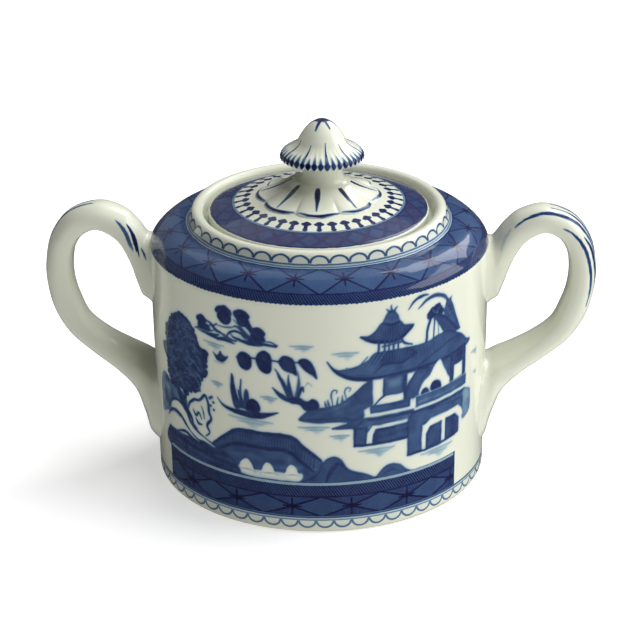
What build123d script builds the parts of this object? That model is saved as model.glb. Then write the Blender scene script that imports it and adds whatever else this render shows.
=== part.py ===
from build123d import *
import math
import os

# Lidded porcelain sugar bowl with two loop handles.
# Millimetres, +Z up. The origin is the middle of the foot, on the surface it stands on.
# The handles lie along X, and the painted front faces -Y.

# ---- driving dimensions ------------------------------------------------------------
WALL_R = 50.0            # outside of the wall just under the shoulder
WALL_TAPER = 0.95        # how much narrower the wall is at the foot
WALL_T = 3.3             # thickness of the casting
FOOT_INSET = 1.2         # how far the foot curls in under the wall
FOOT_CURL_H = 2.7        # height of that curl
FOOT_RING_W = 3.4        # width of the ring that the bowl stands on
FOOT_RECESS = 2.0        # depth of the hollow inside the foot ring
FLOOR_T = 3.6            # thickness of the floor
FLOOR_FILLET = 5.0       # inside corner between floor and wall
SHOULDER_Z = 71.0        # where the wall starts to turn in
SHOULDER_TOP_Z = 78.3    # top of the rounded shoulder
SHOULDER_TOP_R = 39.8    # where the shoulder meets the collar's cove
COLLAR_FOOT = (38.2, 79.7)
LIP_OUT_R = 37.6         # outside of the collar's rounded lip
LIP_IN_R = 33.9          # inside of the lip
LIP_MID_Z = 80.9         # height where the lip's half-round begins
SEAT_Z = 78.6            # ledge that the lid rests on
SEAT_R = 33.4            # outside of the ledge
MOUTH_R = 30.0           # clear mouth inside the ledge
THROAT_Z = 75.2          # underside of the ledge

LID_R = 32.3             # edge of the lid
LID_GAP = 0.15           # between the lid and the ledge at rest
LID_EDGE_T = 3.2         # thickness of the lid's edge
LID_EDGE_ROUND = 0.8
LID_CROWN_Z = 86.6       # top of the domed disc, under the knob
LID_T = 3.0              # thickness of the dome
RING_OUT_R = 28.8        # locating ring under the lid
RING_T = 2.6
RING_DEPTH = 5.0

ROSETTE_LOBES = 8
ROSETTE_R = 18.6         # tip of a lobe
ROSETTE_NOTCH_R = 16.9   # notch between two lobes
ROSETTE_EDGE_T = 0.9     # how far a lobe's edge stands above the disc
ROSETTE_TOP_Z = 90.8     # flat where the neck stands
ROSETTE_TOP_R = 8.2

NECK_R = 5.9
NECK_FLARE = 0.9
CAP_RIM_R = 12.3         # flared rim of the knob
CAP_RIM_Z = 98.1
KNOB_TOP_Z = 109.2
KNOB_OFF_X = 1.1         # the knob was set by hand, a little off the lid's middle

HANDLE_W = 12.0          # breadth of the handle's strap
HANDLE_TILT = {"handle_left": 1.2, "handle_right": -1.2}   # degrees up; each was set by hand
HANDLE_TILT_AT = (50.0, 50.0)                              # x, z that it was turned about

# The strap's cross-sections from the upper root round to the lower root:
# outer edge (x, z), inner edge (x, z), breadth across.
STRAP = [
    ((45.0, 70.0), (45.0, 53.0), HANDLE_W + 3.0),
    ((49.4, 71.8), (51.7, 54.0), HANDLE_W + 2.5),
    ((51.5, 74.2), (53.7, 57.4), HANDLE_W + 1.5),
    ((54.0, 77.6), (56.3, 65.2), HANDLE_W + 0.5),
    ((58.2, 81.2), (59.9, 71.6), HANDLE_W),
    ((65.4, 83.1), (65.4, 75.0), HANDLE_W),
    ((74.0, 80.2), (69.8, 73.4), HANDLE_W),
    ((79.4, 73.2), (72.4, 69.3), HANDLE_W),
    ((81.3, 64.2), (73.3, 63.6), HANDLE_W),
    ((80.9, 56.4), (72.9, 57.8), HANDLE_W),
    ((78.9, 48.8), (71.2, 52.0), HANDLE_W),
    ((74.4, 41.6), (68.4, 46.0), HANDLE_W + 1.0),
    ((67.2, 35.6), (62.8, 40.9), HANDLE_W + 3.0),
    ((60.2, 30.6), (57.3, 37.2), HANDLE_W + 6.5),
    ((54.9, 25.0), (53.0, 34.8), HANDLE_W + 10.0),
    ((51.9, 16.8), (50.4, 33.5), HANDLE_W + 13.0),
    ((49.9, 10.2), (48.0, 32.9), HANDLE_W + 15.0),
    ((45.0, 8.6), (45.0, 32.7), HANDLE_W + 15.5),
]

# ---- worked-out values -------------------------------------------------------------
WALL_LOW_R = WALL_R - WALL_TAPER
FOOT_R = WALL_LOW_R - FOOT_INSET
FLOOR_TOP_Z = FOOT_RECESS + FLOOR_T
INNER_LOW_R = WALL_LOW_R - WALL_T
INNER_R = WALL_R - WALL_T
LID_UNDER_Z = SEAT_Z + LID_GAP
LID_EDGE_TOP_Z = LID_UNDER_Z + LID_EDGE_T


def outer_profile():
    """The outside of the bowl from the foot up to the top of its lip, as curves in X and Z."""
    foot = FOOT_R, 0.0
    curl = WALL_LOW_R, FOOT_CURL_H
    knee = FOOT_R + 0.75 * FOOT_INSET, 0.28 * FOOT_CURL_H
    wall = WALL_R, SHOULDER_Z
    shoulder_mid = WALL_R - 3.5, SHOULDER_TOP_Z - 2.3
    shoulder_top = SHOULDER_TOP_R, SHOULDER_TOP_Z
    cove_mid = SHOULDER_TOP_R - 1.15, SHOULDER_TOP_Z + 0.4
    lip_out = LIP_OUT_R, LIP_MID_Z
    lip_mid = (LIP_OUT_R + LIP_IN_R) / 2, LIP_MID_Z + (LIP_OUT_R - LIP_IN_R) / 2
    lip_in = LIP_IN_R, LIP_MID_Z
    return [
        ThreePointArc(foot, knee, curl),
        Line(curl, wall),
        Spline(wall, shoulder_mid, shoulder_top, tangents=[(0, 1), (-1, 0.02)]),
        ThreePointArc(shoulder_top, cove_mid, COLLAR_FOOT),
        Line(COLLAR_FOOT, lip_out),
        ThreePointArc(lip_out, lip_mid, lip_in),
    ]


def closed_face(curves, corners):
    """A face in X and Z from joined curves, closed by straight lines through the corners."""
    end = curves[-1] @ 1
    start = curves[0] @ 0
    points = [(end.X, end.Y)] + list(corners) + [(start.X, start.Y)]
    lines = [Line(a, b) for a, b in zip(points[:-1], points[1:])]
    flat = make_face(Wire(curves + lines))
    return Plane.XZ * flat


def lathe(face):
    """Turn a face drawn in X and Z about the Z axis."""
    return revolve(face, Axis.Z, 360)


def filled_bowl():
    """The bowl's outer shape with nothing taken out, for trimming the handles to the wall."""
    return lathe(closed_face(outer_profile(), [(0.0, LIP_MID_Z), (0.0, 0.0)]))


def bowl_body():
    """Foot, wall, shoulder, collar and the ledge for the lid, cast in one piece."""
    curves = outer_profile()
    inner_shoulder = Spline(
        (MOUTH_R, THROAT_Z),
        (WALL_R - 3.5 - 0.75 * WALL_T, SHOULDER_TOP_Z - 2.3 - 0.8 * WALL_T),
        (INNER_R, SHOULDER_Z - 2.0),
        tangents=[(1, -0.02), (0, -1)],
    )
    floor_arc_top = INNER_LOW_R, FLOOR_TOP_Z + FLOOR_FILLET
    floor_arc_end = INNER_LOW_R - FLOOR_FILLET, FLOOR_TOP_Z
    reach = FLOOR_FILLET * (1 - math.sqrt(0.5))
    floor_arc_mid = INNER_LOW_R - reach, FLOOR_TOP_Z + reach
    ring_in = FOOT_R - FOOT_RING_W
    rest = [
        Line((LIP_IN_R, LIP_MID_Z), (SEAT_R, SEAT_Z)),
        Line((SEAT_R, SEAT_Z), (MOUTH_R, SEAT_Z)),
        Line((MOUTH_R, SEAT_Z), (MOUTH_R, THROAT_Z)),
        inner_shoulder,
        Line((INNER_R, SHOULDER_Z - 2.0), floor_arc_top),
        ThreePointArc(floor_arc_top, floor_arc_mid, floor_arc_end),
    ]
    under = [
        (0.0, FLOOR_TOP_Z),
        (0.0, FOOT_RECESS),
        (ring_in - 0.8, FOOT_RECESS),
        (ring_in, 0.0),
    ]
    return lathe(closed_face(curves + rest, under))


def strap_section(outer, inner, breadth):
    """An oval cross-section of the strap, standing between its outer and inner edges."""
    middle = Vector((outer[0] + inner[0]) / 2, 0, (outer[1] + inner[1]) / 2)
    across = Vector(outer[0] - inner[0], 0, outer[1] - inner[1])
    normal = across.cross(Vector(0, 1, 0))
    plane = Plane(origin=middle, x_dir=across.normalized(), z_dir=normal.normalized())
    return plane * Ellipse(across.length / 2, breadth / 2)


def handle(name, side):
    """One loop handle, lofted along its strap and cut off at the wall it is luted to."""
    strap = loft([strap_section(*row) for row in STRAP])
    pivot_x, pivot_z = HANDLE_TILT_AT
    turned = strap.rotate(Axis((pivot_x, 0, pivot_z), (0, 1, 0)), -HANDLE_TILT[name])
    placed = turned if side > 0 else mirror(turned, about=Plane.YZ)
    return placed - filled_bowl()


def lid_top_profile():
    """The lid's edge and dome, from the under edge up to the axis."""
    under_edge = LID_R - 0.5, LID_UNDER_Z
    edge_low = LID_R, LID_UNDER_Z + 0.5
    edge_high = LID_R, LID_EDGE_TOP_Z - LID_EDGE_ROUND
    lean = LID_EDGE_ROUND * (1 - math.sqrt(0.5))
    edge_mid = LID_R - lean, LID_EDGE_TOP_Z - lean
    edge_in = LID_R - LID_EDGE_ROUND, LID_EDGE_TOP_Z
    dome_mid = 0.6 * LID_R, LID_CROWN_Z - 1.4
    return [
        Line(under_edge, edge_low),
        Line(edge_low, edge_high),
        ThreePointArc(edge_high, edge_mid, edge_in),
        Spline(edge_in, dome_mid, (0.0, LID_CROWN_Z), tangents=[(-1, 0.32), (-1, 0)]),
    ]


def filled_lid():
    """The lid's outer shape without its hollow, for trimming the rosette that sits on it."""
    return lathe(closed_face(lid_top_profile(), [(0.0, LID_UNDER_Z)]))


def lid_disc():
    """The lid's domed disc, hollow under the middle, with its locating ring."""
    ring_in = RING_OUT_R - RING_T
    hollow_top = LID_CROWN_Z - LID_T
    hollow_edge_z = LID_EDGE_TOP_Z - LID_T + 0.9
    hollow = Spline(
        (0.0, hollow_top),
        (0.55 * ring_in, hollow_top - 1.0),
        (ring_in, hollow_edge_z),
        tangents=[(1, 0), (1, -0.3)],
    )
    ring = [
        Line((0.0, LID_CROWN_Z), (0.0, hollow_top)),
        hollow,
        Line((ring_in, hollow_edge_z), (ring_in + 0.4, LID_UNDER_Z - RING_DEPTH)),
        Line((ring_in + 0.4, LID_UNDER_Z - RING_DEPTH), (RING_OUT_R - 0.6, LID_UNDER_Z - RING_DEPTH)),
        Line((RING_OUT_R - 0.6, LID_UNDER_Z - RING_DEPTH), (RING_OUT_R, LID_UNDER_Z)),
    ]
    return lathe(closed_face(lid_top_profile() + ring, []))


def lobed_outline(tip_r, notch_r, lobes):
    """A closed ring of round lobes: one arc to a lobe, meeting its neighbours at notches."""
    arcs = []
    half = math.pi / lobes
    for i in range(lobes):
        middle = 2 * math.pi * i / lobes - math.pi / 2
        ends = [(notch_r * math.cos(a), notch_r * math.sin(a)) for a in (middle - half, middle + half)]
        tip = tip_r * math.cos(middle), tip_r * math.sin(middle)
        arcs.append(ThreePointArc(ends[0], tip, ends[1]))
    return make_face(Wire(arcs))


def lid_rosette():
    """The lobed rosette: a shallow cone with a scalloped outline, seated on the dome."""
    low = LID_EDGE_TOP_Z
    prism = Pos(0, 0, low) * extrude(lobed_outline(ROSETTE_R, ROSETTE_NOTCH_R, ROSETTE_LOBES), ROSETTE_TOP_Z - low)
    edge_z = LID_CROWN_Z - 1.5 + ROSETTE_EDGE_T
    curves = [
        Line((ROSETTE_R + 1, low - 1), (ROSETTE_R + 1, edge_z - 0.35)),
        ThreePointArc(
            (ROSETTE_R + 1, edge_z - 0.35),
            (0.68 * ROSETTE_R, edge_z + 2.1),
            (ROSETTE_TOP_R, ROSETTE_TOP_Z),
        ),
    ]
    cone = lathe(closed_face(curves, [(0.0, ROSETTE_TOP_Z), (0.0, low - 1)]))
    return (prism & cone) - filled_lid()


def lid_knob():
    """The neck and the bell-shaped knob with its flared rim, standing on the rosette."""
    base = NECK_R + NECK_FLARE, ROSETTE_TOP_Z
    waist = NECK_R, ROSETTE_TOP_Z + 2.2
    neck_top = NECK_R + 0.2, CAP_RIM_Z - 1.6
    under_mid = NECK_R + 2.2, CAP_RIM_Z - 0.35
    rim_low = CAP_RIM_R - 0.5, CAP_RIM_Z - 0.7
    rim_out = CAP_RIM_R, CAP_RIM_Z
    rim_high = CAP_RIM_R - 0.35, CAP_RIM_Z + 0.9
    flank = [(10.7, 100.1), (8.0, 101.7), (6.4, 103.9), (4.7, 106.5)]
    curves = [
        Spline(base, waist, neck_top, tangents=[(-0.7, 0.7), (0.03, 1)]),
        ThreePointArc(neck_top, (NECK_R + 0.8, CAP_RIM_Z - 0.75), under_mid),
        Line(under_mid, rim_low),
        ThreePointArc(rim_low, rim_out, rim_high),
        Spline(rim_high, *flank, (0.0, KNOB_TOP_Z), tangents=[(-0.5, 0.86), (-1, 0)]),
    ]
    return Pos(KNOB_OFF_X, 0, 0) * lathe(closed_face(curves, [(0.0, ROSETTE_TOP_Z)]))


parts = {
    "bowl_body": bowl_body(),
    "handle_left": handle("handle_left", -1),
    "handle_right": handle("handle_right", 1),
    "lid_disc": lid_disc(),
    "lid_rosette": lid_rosette(),
    "lid_knob": lid_knob(),
}

os.makedirs("parts", exist_ok=True)
for name, shape in parts.items():
    export_step(shape, f"parts/{name}.step")
    box = shape.bounding_box()
    print(f"{name:14s} {shape.volume:9.0f} mm3  z {box.min.Z:6.2f} to {box.max.Z:6.2f}")
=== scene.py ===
import math

import bpy
import numpy as np
from mathutils import Matrix, Vector


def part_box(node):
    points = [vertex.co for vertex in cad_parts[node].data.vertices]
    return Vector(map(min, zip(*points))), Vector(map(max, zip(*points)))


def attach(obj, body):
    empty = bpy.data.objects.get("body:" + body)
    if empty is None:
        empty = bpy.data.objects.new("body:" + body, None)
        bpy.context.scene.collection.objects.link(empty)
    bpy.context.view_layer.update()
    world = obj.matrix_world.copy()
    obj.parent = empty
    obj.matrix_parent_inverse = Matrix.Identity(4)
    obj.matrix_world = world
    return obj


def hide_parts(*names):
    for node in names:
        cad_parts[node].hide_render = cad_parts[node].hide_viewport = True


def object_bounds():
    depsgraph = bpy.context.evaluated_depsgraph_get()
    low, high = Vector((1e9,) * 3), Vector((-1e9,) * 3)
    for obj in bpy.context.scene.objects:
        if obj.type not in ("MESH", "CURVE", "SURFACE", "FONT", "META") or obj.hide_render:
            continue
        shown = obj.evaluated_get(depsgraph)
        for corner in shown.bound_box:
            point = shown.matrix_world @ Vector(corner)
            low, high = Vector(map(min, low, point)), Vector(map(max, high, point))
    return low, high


# Lidded porcelain sugar bowl: the looks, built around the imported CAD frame.
# Lengths in this script are millimetres until a mesh is made; MM turns them into metres.
MM = 0.001
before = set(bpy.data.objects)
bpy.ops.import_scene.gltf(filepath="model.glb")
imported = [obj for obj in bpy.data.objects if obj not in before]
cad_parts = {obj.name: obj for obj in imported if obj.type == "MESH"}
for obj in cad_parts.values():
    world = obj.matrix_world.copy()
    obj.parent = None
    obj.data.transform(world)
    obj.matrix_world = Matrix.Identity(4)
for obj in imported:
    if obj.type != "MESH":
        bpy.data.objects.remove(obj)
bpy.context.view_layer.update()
OBJECT_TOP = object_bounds()[1].z / MM
BOWL_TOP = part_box("bowl_body")[1].z / MM
WALL_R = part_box("bowl_body")[1].x / MM
LID_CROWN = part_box("lid_disc")[1].z / MM
ROSETTE_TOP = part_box("lid_rosette")[1].z / MM
KNOB_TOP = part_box("lid_knob")[1].z / MM
KNOB_OFF = (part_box("lid_knob")[0].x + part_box("lid_knob")[1].x) / 2 / MM

FACING = math.radians(-88.0)     # the azimuth in the middle of the painted front
SECTOR_LEFT = -62.0              # the painted sector, in mm of arc from that azimuth
SECTOR_RIGHT = 57.0
PRINT_LEFT = -55.5               # where the lower border is cut off at each end
PRINT_RIGHT = 45.2
BORDER_LOW, BORDER_TALL = 5.5, 6.5      # bottom and height of the lower border's lattice
ARC_R = 49.4                     # radius that the arc lengths are measured on
SCENE_LOW, SCENE_HIGH = 16.4, 72.0      # heights between which the wall's mesh is dense
PAINT_PITCH = 0.29               # spacing of the mesh points that carry the painting
PLAIN_PITCH = 0.8                # their spacing round the unpainted part of the wall

# the painted band on the shoulder
BAND_LOW = 72.2                  # height of its lower edge
HATCH_TOP = 74.5                 # height where the hatching ends and the lattice begins
BAND_IN_R = 38.95                # radius where the lattice ends

# the bowl's outline, as in the CAD part
WALL_TAPER = 0.95                # how much smaller the wall's radius is at the foot
CURL_Z = 2.7                     # height of the curl at the foot
SHOULDER_Z = 71.0                # where the wall starts to turn in
SHOULDER_TOP = (39.8, 78.3)      # where the shoulder meets the collar's cove
COLLAR_FOOT = (38.2, 79.7)
LIP_ROUND = 1.85                 # radius of the lip's half-round
LIP_OUT_R, LIP_MID_R, LIP_IN_R = 37.6, 35.75, 33.9
LIP_MID_Z = BOWL_TOP - LIP_ROUND
SEAT_R, SEAT_Z = 33.4, 78.6      # outside and height of the ledge that the lid rests on
MOUTH_R, THROAT_Z = 30.0, 75.2   # clear mouth and underside of that ledge
FLOOR_Z, RECESS_Z = 5.6, 2.0     # top of the floor, and the base inside the foot ring
FLOOR_FILLET = 5.0
INNER_LOW_R = 45.75              # inside of the wall at the floor
FOOT_R = WALL_R - 2.15
WALL_LOW_R = WALL_R - WALL_TAPER

# how many times each pattern repeats in a full turn
SHOULDER_CELLS, BORDER_CELLS, LID_CELLS = 20, 18, 27
COLLAR_SCALLOPS, FOOT_SCALLOPS = 43, 60
HATCHES, TEETH = 370, 220        # slanting lines, and the notches of the shoulder's lower edge
LID_BUDS = 37
DROPS = 40                       # painted drops on the knob's rim


# ---- curves ------------------------------------------------------------------------
def span(t, start, end, leave, arrive):
    """Points along one curve between two points, with its slopes at both ends."""
    h00, h10 = 2 * t**3 - 3 * t**2 + 1, t**3 - 2 * t**2 + t
    h01, h11 = -2 * t**3 + 3 * t**2, t**3 - t**2
    return h00 * start + h10 * leave + h01 * end + h11 * arrive


def flowing(points, closed=False, per=8):
    """A smooth line through given points."""
    p = np.array(points, float)
    n = len(p)
    if closed:
        before, after = np.roll(p, 1, axis=0), np.roll(p, -1, axis=0)
        last = n
    else:
        before = np.vstack([2 * p[0] - p[1], p[:-1]])
        after = np.vstack([p[1:], 2 * p[-1] - p[-2]])
        last = n - 1
    slope = (after - before) / 2
    t = np.arange(per)[:, None] / per
    out = []
    for i in range(last):
        j = (i + 1) % n
        out.append(span(t, p[i], p[j], slope[i], slope[j]))
    if not closed:
        out.append(p[-1:])
    return np.vstack(out)


def bend(points, start_dir, end_dir, per=10):
    """A smooth line through points, leaving and arriving in given directions."""
    p = np.array(points, float)
    chord = np.linalg.norm(np.diff(p, axis=0), axis=1)
    slope = np.zeros_like(p)
    for i in range(1, len(p) - 1):
        a, b = (p[i] - p[i - 1]) / chord[i - 1], (p[i + 1] - p[i]) / chord[i]
        slope[i] = (a * chord[i] + b * chord[i - 1]) / (chord[i] + chord[i - 1])
    slope[0] = np.array(start_dir) / np.linalg.norm(start_dir)
    slope[-1] = np.array(end_dir) / np.linalg.norm(end_dir)
    t = np.arange(per)[:, None] / per
    out = []
    for i in range(len(p) - 1):
        out.append(span(t, p[i], p[i + 1], chord[i] * slope[i], chord[i] * slope[i + 1]))
    out.append(p[-1:])
    return np.vstack(out)


def arc(centre, radius, start, end, count):
    """Part of a circle between two angles in degrees."""
    a = np.radians(np.linspace(start, end, count))
    return np.stack([centre[0] + radius * np.cos(a), centre[1] + radius * np.sin(a)], 1)


def rounded(points, radii, count=5):
    """A cornered line with each corner rounded off; radius 0 keeps the point."""
    p = [np.array(q, float) for q in points]
    out = []
    for i, q in enumerate(p):
        if radii[i] <= 0 or i in (0, len(p) - 1):
            out.append(q)
            continue
        a, b = p[i - 1] - q, p[i + 1] - q
        la, lb = np.linalg.norm(a), np.linalg.norm(b)
        cut = min(radii[i], la / 2, lb / 2)
        s, e = q + a / la * cut, q + b / lb * cut
        for t in np.linspace(0, 1, count):
            out.append((1 - t) ** 2 * s + 2 * t * (1 - t) * q + t**2 * e)
    return np.array(out)


def joined(*lines):
    """Lines end to end, without doubled points."""
    out = [np.asarray(lines[0], float)]
    for line in lines[1:]:
        line = np.asarray(line, float)
        if np.linalg.norm(out[-1][-1] - line[0]) < 1e-3:
            line = line[1:]
        out.append(line)
    return np.vstack(out)


def thinned(line, least):
    """Drops points that sit closer together than least."""
    keep = [line[0]]
    for q in line[1:-1]:
        if np.linalg.norm(q - keep[-1]) >= least:
            keep.append(q)
    keep.append(line[-1])
    return np.array(keep)


def arc_length(line):
    """How far along a line each of its points is."""
    return np.concatenate([[0], np.cumsum(np.linalg.norm(np.diff(line, axis=0), axis=1))])


# ---- the cobalt painter --------------------------------------------------------------
def step(x, low, high):
    """0 below low, 1 above high, smooth between."""
    t = np.clip((x - low) / (high - low), 0, 1)
    return t * t * (3 - 2 * t)


def grain(u, v, size, seed):
    """Smooth seeded noise from 0 to 1, with cells of that size."""
    table = np.random.default_rng(seed).random((97, 89))
    x, y = np.asarray(u) / size + 40.0, np.asarray(v) / size + 40.0
    i, j = np.floor(x).astype(int), np.floor(y).astype(int)
    fx, fy = x - i, y - j
    fx, fy = fx * fx * (3 - 2 * fx), fy * fy * (3 - 2 * fy)
    a, b = table[i % 97, j % 89], table[(i + 1) % 97, j % 89]
    c, d = table[i % 97, (j + 1) % 89], table[(i + 1) % 97, (j + 1) % 89]
    return (a * (1 - fx) + b * fx) * (1 - fy) + (c * (1 - fx) + d * fx) * fy


class Paint:
    """Cobalt laid on a surface: how much of it there is at each of a set of points (u, v)."""

    def __init__(self, u, v, wobble=0.16, seed=3):
        self.ink = np.zeros(u.shape)
        self.u = u + wobble * 2 * (grain(u, v, 1.7, seed) - 0.5)
        self.v = v + wobble * 2 * (grain(u, v, 1.7, seed + 1) - 0.5)

    def _near(self, line, margin):
        low, high = line.min(0) - margin, line.max(0) + margin
        return np.nonzero(
            (self.u > low[0]) & (self.u < high[0]) & (self.v > low[1]) & (self.v < high[1])
        )

    def _lay(self, where, cover, tone):
        self.ink[where] = self.ink[where] * (1 - cover) + tone * cover

    def fill(self, points, tone, rim=0.1, soft=0.46, smooth=True, per=6, mottle=0.08, streaks=None):
        """A closed shape, with the colour pooled a little darker along its rim."""
        line = flowing(points, True, per) if smooth else np.array(points, float)
        where = self._near(line, 1.5)
        u, v = self.u[where], self.v[where]
        if not len(u):
            return
        inside = np.zeros(len(u), bool)
        least = np.full(len(u), 1e9)
        for a, b in zip(line, np.roll(line, -1, axis=0)):
            du, dv = b - a
            size = du * du + dv * dv
            if size < 1e-12:
                continue
            t = np.clip(((u - a[0]) * du + (v - a[1]) * dv) / size, 0, 1)
            least = np.minimum(least, (u - a[0] - t * du) ** 2 + (v - a[1] - t * dv) ** 2)
            crosses = (a[1] > v) != (b[1] > v)
            if crosses.any():
                inside ^= crosses & (u < (b[0] - a[0]) * (v - a[1]) / (b[1] - a[1] + 1e-12) + a[0])
        far = np.sqrt(least) * np.where(inside, 1, -1)
        cover = step(far, -soft, soft)
        body = tone + rim * np.exp(-((far / 0.55) ** 2)) * (tone > 0.02)
        if tone > 0.02:
            body = body + mottle * 2 * (grain(u, v, 2.3, 11) - 0.5)
        if streaks:
            angle, pitch, depth = streaks
            across = -u * math.sin(math.radians(angle)) + v * math.cos(math.radians(angle))
            wave = np.sin(2 * math.pi * (across / pitch + 0.35 * grain(u, v, 3.0, 19)))
            body = body + depth * wave * step(far, 0.1, 0.9)
        self._lay(where, cover, body)

    def block(self, points, tone, rim=0.1, **how):
        """A filled shape with straight edges."""
        self.fill(points, tone, rim, smooth=False, **how)

    def blank(self, points, soft=0.46, smooth=False):
        """Takes the colour off again, down to the white."""
        self.fill(points, 0.0, 0, soft, smooth)

    def stroke(self, points, widths, tone, soft=0.38, smooth=True, per=6, fade=None):
        """One brush stroke; widths are spread along it, and so are the tones in fade if it is given."""
        line = flowing(points, False, per) if smooth and len(points) > 2 else np.array(points, float)
        along = arc_length(line)
        along = along / max(along[-1], 1e-9)
        wide = np.interp(along, np.linspace(0, 1, len(widths)), widths) / 2
        tones = np.full(len(line), tone)
        if fade:
            tones = np.interp(along, np.linspace(0, 1, len(fade)), fade)
        where = self._near(line, wide.max() + 0.8)
        u, v = self.u[where], self.v[where]
        if not len(u):
            return
        best = np.full(len(u), -1e9)
        tint = np.zeros(len(u))
        for i in range(len(line) - 1):
            a, b = line[i], line[i + 1]
            du, dv = b - a
            t = np.clip(((u - a[0]) * du + (v - a[1]) * dv) / max(du * du + dv * dv, 1e-12), 0, 1)
            gap = np.sqrt((u - a[0] - t * du) ** 2 + (v - a[1] - t * dv) ** 2)
            depth = wide[i] * (1 - t) + wide[i + 1] * t - gap
            better = depth > best
            best = np.where(better, depth, best)
            tint = np.where(better, tones[i] * (1 - t) + tones[i + 1] * t, tint)
        self._lay(where, step(best, -soft, soft * 0.8), tint)

    def dab(self, u0, v0, wide, tall, tone, lean=0.0, soft=0.36):
        """A rounded touch of the brush."""
        a = np.radians(np.linspace(0, 360, 12, endpoint=False))
        x, y = np.cos(a) * wide / 2, np.sin(a) * tall / 2
        c, s = math.cos(math.radians(lean)), math.sin(math.radians(lean))
        self.fill(np.stack([u0 + x * c - y * s, v0 + x * s + y * c], 1), tone, 0.08, soft)

    def clump(self, dabs, tone, size, seed):
        """A tree or bush built from overlapping round touches."""
        rng = np.random.default_rng(seed)
        for u0, v0, r in dabs:
            for _ in range(9):
                a = rng.uniform(0, 2 * math.pi)
                d = r * math.sqrt(rng.uniform(0.25, 1))
                s = size * rng.uniform(0.75, 1.25)
                self.dab(u0 + d * math.cos(a), v0 + d * math.sin(a), s, s * 0.9, tone)
            self.dab(u0, v0, r * 1.7, r * 1.7, tone)


# ---- the river scene -----------------------------------------------------------------
# All points are (mm of arc round the wall from FACING, mm above the ground).
def ripple(p, u0, u1, v, tone=0.30):
    """A soft flat-topped touch for light on the water."""
    mid = (u0 + u1) / 2 + 0.06 * (u1 - u0)
    w = u1 - u0
    drop = 0.9 + 0.11 * w
    p.fill([(u0, v + 0.35), (u0 + w * 0.3, v + 0.5), (u1 - w * 0.25, v + 0.45), (u1, v + 0.3),
            (mid + w * 0.2, v - drop * 0.45), (mid, v - drop), (mid - w * 0.17, v - drop * 0.45)],
           tone * 0.78, 0.02, 0.8)
    p.stroke([(u0 + 0.2, v + 0.25), (mid, v + 0.4), (u1 - 0.3, v + 0.2)], [0.1, 0.55, 0.15],
             tone + 0.05)
    p.stroke([(u0 + w * 0.22, v - drop * 0.32), (mid, v - drop * 0.25),
              (u1 - w * 0.22, v - drop * 0.34)], [0.1, 0.4, 0.1], tone + 0.04)


def paint_water(p):
    """Light touches on the water."""
    for u0, u1, v in ((-8.6, -1.8, 59.3), (3.1, 10.8, 56.9), (-36, -28.3, 56.0), (-33.7, -29.3, 43.9),
                      (-17.4, -12.2, 42.6), (-6.6, 2.8, 34.0), (2.3, 8.3, 31.1),
                      (10.5, 21.9, 25.6), (30.4, 44.0, 20.2), (53.3, 59.4, 44.8), (55, 60.6, 37.8)):
        ripple(p, u0, u1, v)
    ripple(p, -28.0, -13.6, 34.6, 0.27)


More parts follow.
